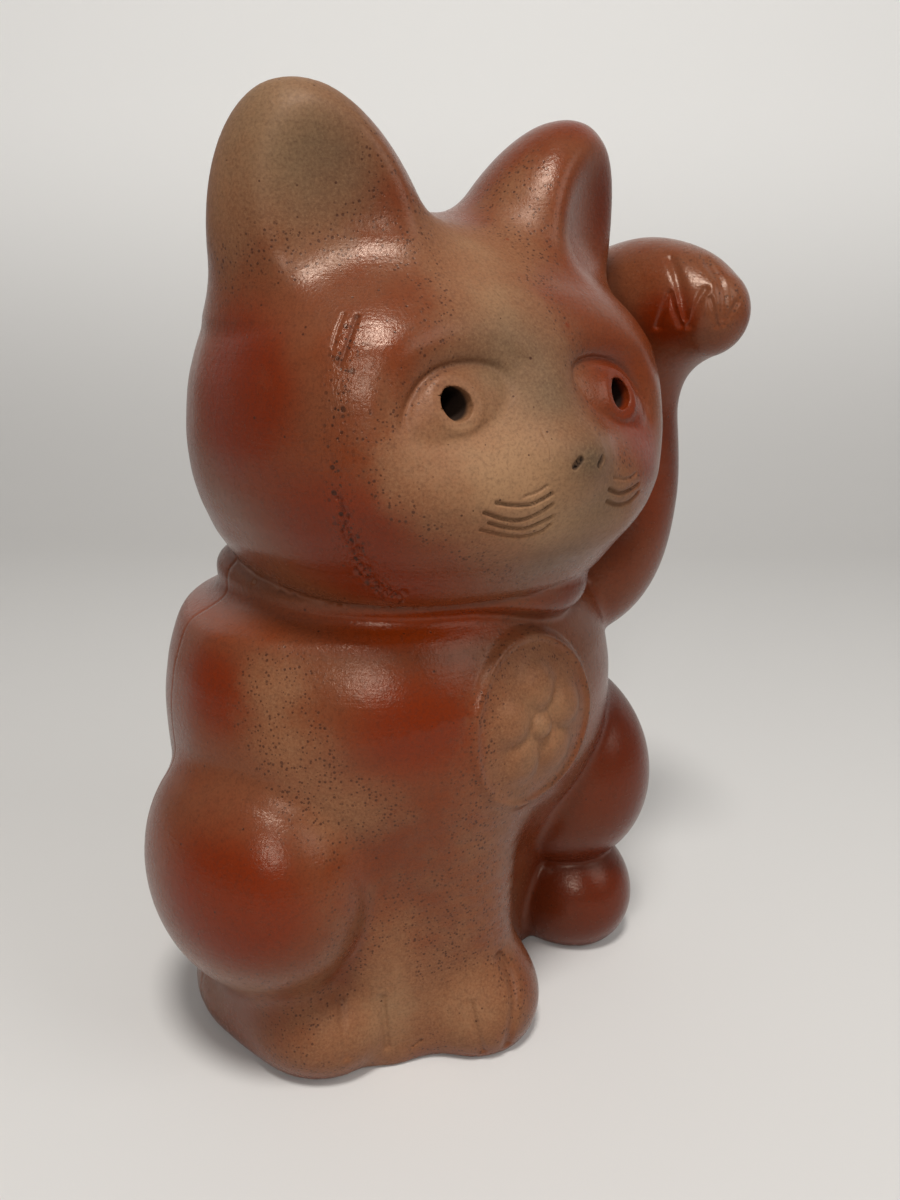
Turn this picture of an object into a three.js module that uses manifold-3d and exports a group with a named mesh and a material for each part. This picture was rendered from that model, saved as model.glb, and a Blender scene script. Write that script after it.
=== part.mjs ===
// Beckoning cat figurine in burnished red stoneware, hollow, built from moulded halves and luted limbs.
// Millimetres, +Z up. The cat sits on z = 0 and faces -Y; its right side is -X, its raised paw is on +X.
import * as THREE from 'three';
import { mergeVertices } from 'three/addons/utils/BufferGeometryUtils.js';
import Module from 'manifold-3d';

const wasm = await Module();
wasm.setup();

// Clay joints and shells
const JOINT_GAP = 0.3; // slip joint left between neighbouring pieces
const WALL = 6; // thickness of the moulded halves
const SEAM_SETBACK = 12; // the front and back halves meet this far behind the middle

// Body: half widths to the sides, depths from the body axis to the front and to the back
const BODY_HEIGHT = 106.5;
const BODY_AXIS_Y = 2.5;
const BODY_SQUARENESS = 1.92;
const BASE_HALF_WIDTH = 46;
const BASE_FRONT = 18.5;
const BASE_BACK = 45;
const HIP_HALF_WIDTH = 50;
const HIP_FRONT = 22;
const WAIST_HALF_WIDTH = 53;
const WAIST_FRONT = 37.5;
const RUMP_BACK = 53;
const CHEST_HALF_WIDTH = 55.5;
const CHEST_FRONT = 43.8;
const CHEST_BACK = 50.7;
const SHOULDER_HALF_WIDTH = 51;
const SHOULDER_FRONT = 40.2;
const SHOULDER_BACK = 47.6;
const SHOULDER_ROUNDING = 4; // how far the shoulder edge draws in
const CHEST_ROUNDING = 2.2; // the same at the front
const NECK_HALF_WIDTH = 38;
const NECK_FRONT = 33.4;
const NECK_BACK = 35.6;
const NECK_FLARE = 2.6; // how much wider the foot of the neck is
const HIP_AT = 0.28; // levels of the body, as shares of its height
const WAIST_AT = 0.525;
const CHEST_AT = 0.735;
const SHOULDER_AT = 0.907;
const SHOULDER_EDGE_AT = 0.936;
const NECK_FOOT_AT = 0.967;
const NECK_BORE_RADIUS = 19;
const BASE_SLAB_THICKNESS = 7;

// Head: widest at the cheeks, with its own axis
const HEAD_HEIGHT = 74.2;
const HEAD_AXIS_Y = -3;
const CHEEK_HALF_WIDTH = 50;
const MUZZLE_FRONT = 49.4;
const NAPE_BACK = 43.6;
const NAPE_SQUARENESS = 2.1;
// Levels of the head: shares of its height and of its three widest reaches, and squareness of the face side
const HEAD_LEVELS = [
  { rise: 0, side: 0.72, front: 0.717, back: 0.853, square: 2.3 },
  { rise: 0.07, side: 0.826, front: 0.802, back: 0.945, square: 2.35 },
  { rise: 0.178, side: 0.92, front: 0.929, back: 0.993, square: 2.35 },
  { rise: 0.313, side: 0.986, front: 1, back: 1, square: 2.36 },
  { rise: 0.414, side: 1, front: 0.972, back: 0.984, square: 2.48 },
  { rise: 0.555, side: 0.984, front: 0.874, back: 0.931, square: 2.85 },
  { rise: 0.663, side: 0.938, front: 0.814, back: 0.872, square: 3.05 },
  { rise: 0.771, side: 0.844, front: 0.696, back: 0.771, square: 3 },
  { rise: 0.879, side: 0.66, front: 0.494, back: 0.592, square: 2.5 },
  { rise: 0.955, side: 0.42, front: 0.285, back: 0.36, square: 2.2 },
  { rise: 0.99, side: 0.2, front: 0.14, back: 0.17, square: 2 },
];

// Face
const EYE_HALF_SPACING = 20.9;
const EYE_RISE = 39.5;
const EYE_HOLE_HALF_WIDTH = 2.8;
const EYE_HOLE_HALF_HEIGHT = 3.5;
const SOCKET_HALF_WIDTH = 15.5;
const SOCKET_HALF_HEIGHT = 11.5;
const SOCKET_ROUNDING = 8; // half size of the hollow along the line of sight
const SOCKET_DEPTH = 3.6;
const SOCKET_SHIFT = 0.8; // middle of the hollow nearer the nose and the brow than the eye
const EYE_MOUND_HALF_WIDTH = 10.2;
const EYE_MOUND_HALF_HEIGHT = 7;
const EYE_MOUND_DROP = 1.3; // front of the mound behind the plain face
const NOSE_RISE = 28.4;
const NOSE_HALF_WIDTH = 7.6;
const NOSE_RELIEF = 3.4;

// Ears
const EAR_HEIGHT = 38;
const EAR_ROOT_DROP = 19; // root of the ear below the crown
const EAR_ROOT_DEPTH = 12; // how far the ear is let into the head
const EAR_HALF_WIDTH = 22.6;
const EAR_FRONT = 19.2;
const EAR_BACK = 21.6;
const EAR_INSET = 26.7; // root of the ear inside the widest cheek
const EAR_SPLAY = 10.2; // tip outside the root
const EAR_ROOT_Y = -6.2;
const EAR_TIP_LEAN = 4.8; // tip ahead of the root
const EAR_FULLNESS = 2;
const EAR_YAW = THREE.MathUtils.degToRad(38); // the hollow of the ear faces outward by this
const EAR_SCOOP_DEPTH = 5.5;
const EAR_SCOOP_HALF_WIDTH = 14.5;
const EAR_SCOOP_HALF_HEIGHT = 24;
const EAR_SCOOP_ROUNDING = 13; // half size of the hollow along the way it faces
const EAR_SCOOP_AT = 0.36; // middle of the hollow, as a share of the way up the ear
const EAR_ROOT_SWELL = 0.75; // girth of the let-in root against the ear's own

// Hind legs
const HAUNCH_HALF_WIDTH = 22.8;
const HAUNCH_HALF_LENGTH = 30;
const HAUNCH_HALF_HEIGHT = 28.6;
const HAUNCH_LIFT = 17.7; // underside of the haunch above the table
const HAUNCH_SINK = 8.5; // middle of the haunch inside the side of the body
const HAUNCH_Y = -2.7;
const RIGHT_FOOT_RADIUS = 16.6;
const LEFT_FOOT_RADIUS = 17.2;
const FOOT_LENGTH = 57;
const HEEL_RADIUS = 12.5;
const RIGHT_FOOT_TUCK = 6.8; // top of the foot above the underside of the haunch
const LEFT_FOOT_TUCK = 11;
const FOOT_SETBACK = 3; // toes behind the knee
const RIGHT_FOOT_INSET = 8.6; // middle of the foot inside the middle of the haunch
const LEFT_FOOT_INSET = -0.4;
const HEEL_TURN = 9; // the heel lies this much nearer the middle than the toes, inside the body
const HEEL_DROP = 1.7; // middle of the heel below the middle of the toes
const INSTEP_AT = 0.7; // as a share of the way from the heel to the toes

// Standing right foreleg
const FORELEG_TOP_RADIUS = 27;
const FORELEG_KNEE_RADIUS = 20.5;
const FORELEG_SHIN_RADIUS = 15;
const FORELEG_TOP_OUT = 0.235; // middle of its top from the middle, as a share of the chest's half width
const PAW_X = -2.3;
const PAW_REACH = 43; // front of the paw ahead of the middle of the figure
const PAW_HALF_WIDTH = 16.4;
const PAW_HALF_LENGTH = 18;
const PAW_HEIGHT = 23;
const PAW_HALF_HEIGHT = 14.8;
const FORELEG_TOP_DEPTH = 13.4; // top of the foreleg ahead of the body axis
const ANKLE_BACK = 2; // ankle behind and above the middle of the paw
const ANKLE_UP = 4;
const ANKLE_RADIUS = 14;
const SHIN_AT = 0.24; // as shares of the way up from the ankle
const KNEE_AT = 0.58;
const SHIN_BOW = 1; // the leg bows forward by this
const LAP_TOP_RADIUS = 21; // the lap of clay fills the hollow between the leg and the right haunch
const LAP_FOOT_RADIUS = 14.2;
const LAP_TOP_OUT = 0.54; // as a share of the chest's half width
const LAP_FOOT_INSET = 22.7; // inside the middle of the right haunch
const LAP_TOP_Y = -4;
const LAP_FOOT_Y = -17;
const LAP_TOP_AT = 0.62; // as a share of the body's height
const LAP_FOOT_Z = 6;
const LAP_BOW = 2; // the lap bows inward and forward by this

// Raised left foreleg
const ARM_ROOT_RADIUS = 15.5;
const ELBOW_RADIUS = 17.5;
const ARM_RADIUS = 15.9;
const ARM_UPPER_RADIUS = 14.4;
const ARM_WRIST_RADIUS = 14.9;
const ARM_CHEEK_OVERLAP = 5.6; // the arm lies this deep against the cheek
const ARM_Y = -6;
const ARM_ROOT_BACK = 7; // the root of the arm lies behind its middle by this
const ARM_ROOT_SINK = 16; // and this deep inside the side of the chest
const ARM_ROOT_AT = 0.852; // as shares of the body's height
const ELBOW_AT = 0.943;
const ELBOW_OUT = 0.61; // elbow, as a share of the way from the root out to the line of the arm
const FOREARM_AT = 0.32; // as shares of the way from the elbow up to the wrist
const UPPER_ARM_AT = 0.72;
const WRIST_RISE = 45.7; // above the neck seat
const HAND_RADIUS = 13.4;
const HAND_TIP_RADIUS = 10.4;
const HAND_RISE = 56.8; // middle of the bent paw above the neck seat
const HAND_REACH = 34; // tip of the raised paw ahead of the arm
const HAND_DROOP = 2.2; // middle of the tip below the middle of the paw
const HAND_OUT = 0.8; // the paw stands outside the line of the arm by this
const KNUCKLE_AT = 0.27; // as shares of the reach
const PALM_AT = 0.66;
const PAW_HEEL_HALF_WIDTH = 13;
const PAW_HEEL_HALF_DEPTH = 12.4;
const PAW_HEEL_HALF_HEIGHT = 14;
const PAW_HEEL_RISE = 43.2; // middle of the heel of the paw above the neck seat
const PAW_HEEL_AHEAD = 6.5; // and ahead of the arm

// Collar roll, chest medallion and tail
const COLLAR_RADIUS = 3;
const COLLAR_BITE = 1.8; // the roll presses this far into the neck
const MEDALLION_AT = 0.738; // as a share of the body's height
const MEDALLION_HALF_WIDTH = 18.6;
const MEDALLION_HALF_HEIGHT = 19.4;
const MEDALLION_RELIEF = 1.2;
const MEDALLION_RIM_WIDTH = 2;
const MEDALLION_RIM_RELIEF = 1.9;
const PETAL_COUNT = 5;
const PETAL_RADIUS = 4.4;
const PETAL_RING_RADIUS = 8.6;
const TAIL_RADIUS = 7;
const TAIL_TIP_RADIUS = 4.5;
const TAIL_SWEEP = THREE.MathUtils.degToRad(34); // angle the tail runs round the back
const TAIL_LIFT = 4; // root of the tail above the table
const TAIL_CURL = 14; // tip of the tail above its root
const TAIL_START = 0.3; // share of its sweep that lies on the right of the middle

// Mesh fineness
const SHELL_SEGMENTS = 40;
const CAVITY_SEGMENTS = 24;
const LIMB_SEGMENTS = 18;
const FACE_SEGMENTS = 16;
const CAP_ROWS = 3;
const COLLAR_SEGMENTS = 8;
const BODY_ROWS = 16;
const HEAD_ROWS = 15;
const HEAD_CAVITY_ROWS = 11;
const EAR_ROWS = 9;
const LEG_STEPS = 14;
const ARM_STEPS = 24;
const FOOT_STEPS = 8;
const TAIL_STEPS = 10;

const CLAY_RED = 0x7d3a22;
const CLAY_TAN = 0x8c6a4e;
const CLAY_DARK = 0x5e2a1b;
const SEAT_Z = BODY_HEIGHT + JOINT_GAP;
const CROWN_Z = SEAT_Z + HEAD_HEIGHT;
const BIG = 4 * (BODY_HEIGHT + HEAD_HEIGHT); // larger than the whole figure, for cutting blocks

const { lerp } = THREE.MathUtils;
const dome = (u, fullness) => Math.pow(1 - Math.pow(u, fullness), 1 / fullness);
const signedPower = (value, power) => Math.sign(value) * Math.pow(Math.abs(value), power);
const vec = (x, y, z) => new THREE.Vector3(x, y, z);

// Closed horizontal outline of one level, a superellipse with its own front and back depth
function outline(level, axisY, squareness, segments) {
  return Array.from({ length: segments }, (_, i) => {
    const angle = (2 * Math.PI * i) / segments;
    const ahead = Math.sin(angle) < 0;
    const depth = ahead ? level.front : level.back;
    const power = 2 / (ahead ? level.square ?? squareness : squareness);
    const x = level.side * signedPower(Math.cos(angle), power);
    const y = axisY + depth * signedPower(Math.sin(angle), power);
    return vec(x, y, level.z);
  });
}

// Closed surface through rings of equal point count; the ends close on the given points
function loft(rings, start, end) {
  const count = rings[0].length;
  const points = [...rings.flat(), start, end];
  const startIndex = points.length - 2;
  const endIndex = points.length - 1;
  const lastRow = (rings.length - 1) * count;
  const faces = [];
  for (let i = 0; i < count; i += 1) {
    const next = (i + 1) % count;
    faces.push(startIndex, next, i);
    faces.push(endIndex, lastRow + i, lastRow + next);
    for (let row = 0; row < lastRow; row += count) {
      faces.push(row + i, row + next, row + count + i);
      faces.push(row + next, row + count + next, row + count + i);
    }
  }
  const geometry = new THREE.BufferGeometry().setFromPoints(points);
  geometry.setIndex(faces);
  return geometry;
}

function solidFrom(geometry) {
  const bare = geometry.clone();
  bare.deleteAttribute('normal');
  bare.deleteAttribute('uv');
  const merged = mergeVertices(bare, 1e-4);
  const mesh = new wasm.Mesh({
    numProp: 3,
    vertProperties: new Float32Array(merged.attributes.position.array),
    triVerts: new Uint32Array(merged.index.array),
  });
  return new wasm.Manifold(mesh);
}

function meshFrom(name, solid, colour) {
  const { vertProperties, triVerts } = solid.getMesh();
  const geometry = new THREE.BufferGeometry();
  geometry.setAttribute('position', new THREE.BufferAttribute(new Float32Array(vertProperties), 3));
  geometry.setIndex(new THREE.BufferAttribute(new Uint32Array(triVerts), 1));
  geometry.computeVertexNormals();
  const material = new THREE.MeshStandardMaterial({ color: colour, roughness: 0.45, metalness: 0 });
  const mesh = new THREE.Mesh(geometry, material);
  mesh.name = name;
  return mesh;
}

function ellipsoid(centre, halfSizes, turn = new THREE.Euler(), segments = LIMB_SEGMENTS) {
  const place = new THREE.Matrix4().compose(centre, new THREE.Quaternion().setFromEuler(turn), halfSizes);
  return solidFrom(new THREE.SphereGeometry(1, segments, segments / 2 + 1).applyMatrix4(place));
}

// Round limb along a smooth path, with its radius at each point and domed ends
function limb(points, radii, steps) {
  const path = new THREE.CatmullRomCurve3(points);
  const girth = new THREE.SplineCurve(radii.map((radius, i) => new THREE.Vector2(i, radius)));
  const { normals, binormals, tangents } = path.computeFrenetFrames(steps, false);
  const capAngles = Array.from({ length: CAP_ROWS }, (_, i) => ((i + 1) * Math.PI) / (2 * (CAP_ROWS + 1)));
  const ring = (i, along, radius) => {
    const centre = path.getPointAt(i / steps).addScaledVector(tangents[i], along);
    return Array.from({ length: LIMB_SEGMENTS }, (_, k) => {
      const angle = (2 * Math.PI * k) / LIMB_SEGMENTS;
      return centre
        .clone()
        .addScaledVector(normals[i], radius * Math.cos(angle))
        .addScaledVector(binormals[i], radius * Math.sin(angle));
    });
  };
  const startRadius = radii[0];
  const endRadius = radii[radii.length - 1];
  const startCap = capAngles.map((a) => ring(0, -startRadius * Math.cos(a), startRadius * Math.sin(a)));
  const endCap = capAngles.map((a) => ring(steps, endRadius * Math.sin(a), endRadius * Math.cos(a)));
  const trunk = Array.from({ length: steps + 1 }, (_, i) => {
    const share = path.getUtoTmapping(i / steps);
    return ring(i, 0, girth.getPoint(share).y);
  });
  const start = path.getPointAt(0).addScaledVector(tangents[0], -startRadius);
  const end = path.getPointAt(1).addScaledVector(tangents[steps], endRadius);
  return solidFrom(loft([...startCap, ...trunk, ...endCap], start, end));
}

// Cutting block from one corner of space to the other
function block(min, max) {
  const size = max.clone().sub(min);
  const centre = min.clone().add(max).multiplyScalar(0.5);
  return solidFrom(new THREE.BoxGeometry(size.x, size.y, size.z).translate(centre.x, centre.y, centre.z));
}

const underTable = block(vec(-BIG, -BIG, -BIG), vec(BIG, BIG, 0));
const behindSeam = block(vec(-BIG, SEAM_SETBACK - JOINT_GAP / 2, -BIG), vec(BIG, BIG, BIG));
const beforeSeam = block(vec(-BIG, -BIG, -BIG), vec(BIG, SEAM_SETBACK + JOINT_GAP / 2, BIG));
const cut = (solid, ...tools) => tools.reduce((rest, tool) => rest.subtract(tool), solid);

// Body levels from the table to the neck seat
function bodyLevels() {
  const stations = [
    { at: 0, side: BASE_HALF_WIDTH, front: BASE_FRONT, back: BASE_BACK },
    { at: HIP_AT, side: HIP_HALF_WIDTH, front: HIP_FRONT, back: RUMP_BACK },
    { at: WAIST_AT, side: WAIST_HALF_WIDTH, front: WAIST_FRONT, back: RUMP_BACK },
    { at: CHEST_AT, side: CHEST_HALF_WIDTH, front: CHEST_FRONT, back: CHEST_BACK },
    { at: SHOULDER_AT, side: SHOULDER_HALF_WIDTH, front: SHOULDER_FRONT, back: SHOULDER_BACK },
    {
      at: SHOULDER_EDGE_AT,
      side: SHOULDER_HALF_WIDTH - SHOULDER_ROUNDING,
      front: SHOULDER_FRONT - CHEST_ROUNDING,
      back: SHOULDER_BACK - SHOULDER_ROUNDING,
    },
    {
      at: NECK_FOOT_AT,
      side: NECK_HALF_WIDTH + NECK_FLARE,
      front: NECK_FRONT + NECK_FLARE,
      back: NECK_BACK + NECK_FLARE,
    },
    { at: 1, side: NECK_HALF_WIDTH, front: NECK_FRONT, back: NECK_BACK },
  ];
  const fore = new THREE.CatmullRomCurve3(stations.map((s) => vec(s.side, s.front, s.at)), false, 'catmullrom');
  const rear = new THREE.CatmullRomCurve3(stations.map((s) => vec(s.back, 0, s.at)), false, 'catmullrom');
  return Array.from({ length: BODY_ROWS + 1 }, (_, i) => {
    const point = fore.getPoint(i / BODY_ROWS);
    const back = rear.getPoint(i / BODY_ROWS).x;
    return { z: point.z * BODY_HEIGHT, side: point.x, front: point.y, back };
  });
}

// The same levels moved along the surface normal, outward for a positive distance
function offsetLevels(levels, distance) {
  return levels.map((level, i) => {
    const below = levels[Math.max(i - 1, 0)];
    const above = levels[Math.min(i + 1, levels.length - 1)];
    const slope = new THREE.Vector2(above.z - below.z, below.side - above.side).normalize();
    const out = distance * slope.x;
    const z = level.z + distance * slope.y;
    return { z, side: level.side + out, front: level.front + out, back: level.back + out };
  });
}

function levelAt(levels, z) {
  const upper = Math.max(1, levels.findIndex((level) => level.z >= z));
  const a = levels[upper - 1];
  const b = levels[upper];
  const share = (z - a.z) / (b.z - a.z);
  return {
    z,
    side: lerp(a.side, b.side, share),
    front: lerp(a.front, b.front, share),
    back: lerp(a.back, b.back, share),
    square: lerp(a.square, b.square, share),
  };
}

function stack(levels, axisY, squareness, segments) {
  const rings = levels.map((level) => outline(level, axisY, squareness, segments));
  const bottom = vec(0, axisY, levels[0].z);
  const top = vec(0, axisY, levels[levels.length - 1].z);
  return solidFrom(loft(rings, bottom, top));
}

const BODY = bodyLevels();

function grownBody(distance) {
  const levels = offsetLevels(BODY, distance);
  const foot = { ...levels[0], z: -distance };
  const neck = { ...levels[levels.length - 1], z: BODY_HEIGHT + distance };
  return stack([foot, ...levels.slice(1, -1), neck], BODY_AXIS_Y, BODY_SQUARENESS, SHELL_SEGMENTS);
}

function neckBore() {
  const radius = NECK_BORE_RADIUS;
  const level = (z) => ({ z, side: radius, front: radius, back: radius });
  return stack([level(BODY_HEIGHT - 2 * WALL), level(SEAT_Z + 2 * WALL)], 0, 2, CAVITY_SEGMENTS);
}

function bodyShell() {
  const inner = offsetLevels(BODY, -WALL).filter((level) => level.z < BODY_HEIGHT - WALL);
  const mouth = { ...inner[0], z: -WALL };
  const cavity = stack([mouth, ...inner.slice(1)], BODY_AXIS_Y, BODY_SQUARENESS, CAVITY_SEGMENTS);
  return cut(grownBody(0), cavity, neckBore());
}

// Slab let into the open underside of the body
function baseSlab() {
  const inset = WALL + JOINT_GAP;
  const levels = [0, BASE_SLAB_THICKNESS].map((z) => {
    const level = levelAt(BODY, z);
    return { z, side: level.side - inset, front: level.front - inset, back: level.back - inset };
  });
  return stack(levels, BODY_AXIS_Y, BODY_SQUARENESS, CAVITY_SEGMENTS);
}

// Head levels, drawn in evenly by a positive inset
function headLevels(inset, rows) {
  const fore = new THREE.CatmullRomCurve3(HEAD_LEVELS.map((s) => vec(s.side, s.front, s.rise)));
  const rear = new THREE.CatmullRomCurve3(HEAD_LEVELS.map((s) => vec(s.back, s.square, s.rise)));
  return Array.from({ length: rows + 1 }, (_, i) => {
    const a = fore.getPoint(i / rows);
    const b = rear.getPoint(i / rows);
    return {
      z: lerp(SEAT_Z + inset, CROWN_Z - inset, a.z),
      side: (CHEEK_HALF_WIDTH - inset) * a.x,
      front: (MUZZLE_FRONT - inset) * a.y,
      back: (NAPE_BACK - inset) * b.x,
      square: b.y,
    };
  });
}

function headForm(inset, rows, segments) {
  const levels = headLevels(inset, rows);
  const rings = levels.map((level) => outline(level, HEAD_AXIS_Y, NAPE_SQUARENESS, segments));
  const bottom = vec(0, HEAD_AXIS_Y, levels[0].z);
  const crown = vec(0, HEAD_AXIS_Y, CROWN_Z - inset);
  return solidFrom(loft(rings, bottom, crown));
}

const HEAD = headLevels(0, HEAD_ROWS);

// Point of the face at a height above the neck seat and a distance from the middle
function facePoint(x, rise) {
  const level = levelAt(HEAD, SEAT_Z + rise);
  const depth = level.front * dome(Math.abs(x) / level.side, level.square);
  return vec(x, HEAD_AXIS_Y - depth, level.z);
}

function faceTurn(x) {
  return Math.atan2(x, MUZZLE_FRONT);
}

function headShell() {
  let form = headForm(0, HEAD_ROWS, SHELL_SEGMENTS);
  for (const side of [-1, 1]) {
    const x = side * EYE_HALF_SPACING;
    const turn = new THREE.Euler(0, 0, faceTurn(x));
    const socket = facePoint(x - side * SOCKET_SHIFT, EYE_RISE + SOCKET_SHIFT);
    socket.y += SOCKET_DEPTH - SOCKET_ROUNDING;
    const socketSize = vec(SOCKET_HALF_WIDTH, SOCKET_ROUNDING, SOCKET_HALF_HEIGHT);
    const mound = facePoint(x, EYE_RISE).add(vec(0, EYE_MOUND_DROP + EYE_MOUND_HALF_HEIGHT, 0));
    const moundSize = vec(EYE_MOUND_HALF_WIDTH, EYE_MOUND_HALF_HEIGHT, EYE_MOUND_HALF_HEIGHT);
    form = form.subtract(ellipsoid(socket, socketSize, turn, FACE_SEGMENTS));
    form = form.add(ellipsoid(mound, moundSize, turn, FACE_SEGMENTS));
  }
  const nose = facePoint(0, NOSE_RISE).add(vec(0, NOSE_HALF_WIDTH - NOSE_RELIEF, 0));
  const noseSize = vec(NOSE_HALF_WIDTH, NOSE_HALF_WIDTH, NOSE_HALF_WIDTH);
  form = form.add(ellipsoid(nose, noseSize, new THREE.Euler(), FACE_SEGMENTS));
  const cavity = headForm(WALL, HEAD_CAVITY_ROWS, CAVITY_SEGMENTS);
  const eyes = [-1, 1].map((side) => eyeHole(side * EYE_HALF_SPACING));
  return cut(form, cavity, neckBore(), ...eyes);
}

// Hole pricked straight through the wall of the face from the front
function eyeHole(x) {
  const drill = new THREE.CylinderGeometry(1, 1, 4 * WALL, FACE_SEGMENTS);
  drill.scale(EYE_HOLE_HALF_WIDTH, 1, EYE_HOLE_HALF_HEIGHT);
  const centre = facePoint(x, EYE_RISE);
  return solidFrom(drill.translate(centre.x, centre.y, centre.z));
}

function earLine(side) {
  const root = vec(side * (CHEEK_HALF_WIDTH - EAR_INSET), EAR_ROOT_Y, CROWN_Z - EAR_ROOT_DROP);
  const tip = root.clone().add(vec(side * EAR_SPLAY, -EAR_TIP_LEAN, EAR_HEIGHT));
  return { root, tip };
}

// Pointed ear with a round tip
function earForm(side, grow) {
  const out = vec(side * Math.sin(EAR_YAW), -Math.cos(EAR_YAW), 0);
  const wide = vec(out.y, -out.x, 0);
  const { root, tip } = earLine(side);
  const ring = (centre, swell) =>
    Array.from({ length: LIMB_SEGMENTS }, (_, k) => {
      const angle = (2 * Math.PI * k) / LIMB_SEGMENTS;
      return centre
        .clone()
        .addScaledVector(wide, (EAR_HALF_WIDTH * swell + grow) * Math.cos(angle))
        .addScaledVector(out, ((Math.sin(angle) > 0 ? EAR_FRONT : EAR_BACK) * swell + grow) * Math.sin(angle));
    });
  const sunk = root.clone().add(vec(0, 0, -EAR_ROOT_DEPTH));
  const rising = Array.from({ length: EAR_ROWS }, (_, i) => {
    const share = Math.sin((Math.PI * i) / (2 * EAR_ROWS));
    return ring(root.clone().lerp(tip, share), dome(share, EAR_FULLNESS));
  });
  const peak = tip.clone().add(vec(0, 0, grow));
  return solidFrom(loft([ring(sunk, EAR_ROOT_SWELL), ...rising], sunk, peak));
}

function earScoop(side) {
  const out = vec(side * Math.sin(EAR_YAW), -Math.cos(EAR_YAW), 0);
  const scoopSize = vec(EAR_SCOOP_HALF_WIDTH, EAR_SCOOP_ROUNDING, EAR_SCOOP_HALF_HEIGHT);
  const { root, tip } = earLine(side);
  const face = root.clone().lerp(tip, EAR_SCOOP_AT);
  const surface = EAR_FRONT * dome(EAR_SCOOP_AT, EAR_FULLNESS);
  const hollow = face.addScaledVector(out, surface + EAR_SCOOP_ROUNDING - EAR_SCOOP_DEPTH);
  const splay = Math.atan2(EAR_SPLAY, EAR_HEIGHT);
  return ellipsoid(hollow, scoopSize, new THREE.Euler(0, side * splay, side * EAR_YAW, 'ZYX'));
}

function haunchCentre(side) {
  const z = HAUNCH_LIFT + HAUNCH_HALF_HEIGHT;
  return vec(side * (levelAt(BODY, z).side - HAUNCH_SINK), HAUNCH_Y, z);
}

function haunchForm(side, grow) {
  const size = vec(HAUNCH_HALF_WIDTH + grow, HAUNCH_HALF_LENGTH + grow, HAUNCH_HALF_HEIGHT + grow);
  return ellipsoid(haunchCentre(side), size);
}

function footForm(side, grow) {
  const haunch = haunchCentre(side);
  const radius = side < 0 ? RIGHT_FOOT_RADIUS : LEFT_FOOT_RADIUS;
  const x = haunch.x - side * (side < 0 ? RIGHT_FOOT_INSET : LEFT_FOOT_INSET);
  const front = haunch.y - HAUNCH_HALF_LENGTH + FOOT_SETBACK;
  const top = HAUNCH_LIFT + (side < 0 ? RIGHT_FOOT_TUCK : LEFT_FOOT_TUCK);
  const toe = vec(x, front + radius, top - radius);
  const heel = vec(x - side * HEEL_TURN, front + FOOT_LENGTH - HEEL_RADIUS, toe.z - HEEL_DROP);
  const instep = heel.clone().lerp(toe, INSTEP_AT);
  const radii = [HEEL_RADIUS, lerp(HEEL_RADIUS, radius, INSTEP_AT), radius];
  return limb([heel, instep, toe], radii.map((girth) => girth + grow), FOOT_STEPS);
}

// Lap of clay beside the standing leg
function lapForm(grow) {
  const haunch = haunchCentre(-1);
  const top = vec(-LAP_TOP_OUT * CHEST_HALF_WIDTH, LAP_TOP_Y, LAP_TOP_AT * BODY_HEIGHT);
  const foot = vec(haunch.x + LAP_FOOT_INSET, LAP_FOOT_Y, LAP_FOOT_Z);
  const middle = top.clone().lerp(foot, 0.5).add(vec(LAP_BOW, -LAP_BOW, 0));
  const radii = [LAP_TOP_RADIUS, (LAP_TOP_RADIUS + LAP_FOOT_RADIUS) / 2, LAP_FOOT_RADIUS];
  return limb([top, middle, foot], radii.map((radius) => radius + grow), FOOT_STEPS);
}

function forelegForm(grow) {
  const pawY = PAW_HALF_LENGTH - PAW_REACH;
  const paw = vec(PAW_X, pawY, PAW_HEIGHT - PAW_HALF_HEIGHT);
  const size = vec(PAW_HALF_WIDTH + grow, PAW_HALF_LENGTH + grow, PAW_HALF_HEIGHT + grow);
  const x = -FORELEG_TOP_OUT * CHEST_HALF_WIDTH;
  const top = vec(x, BODY_AXIS_Y - FORELEG_TOP_DEPTH, CHEST_AT * BODY_HEIGHT);
  const ankle = paw.clone().add(vec(0, ANKLE_BACK, ANKLE_UP));
  const knee = ankle.clone().lerp(top, KNEE_AT).add(vec(0, -SHIN_BOW, 0));
  const shin = ankle.clone().lerp(top, SHIN_AT).add(vec(0, -SHIN_BOW, 0));
  const radii = [FORELEG_TOP_RADIUS, FORELEG_KNEE_RADIUS, FORELEG_SHIN_RADIUS, ANKLE_RADIUS];
  const leg = limb([top, knee, shin, ankle], radii.map((radius) => radius + grow), LEG_STEPS);
  return leg.add(ellipsoid(paw, size)).add(lapForm(grow));
}

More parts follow.
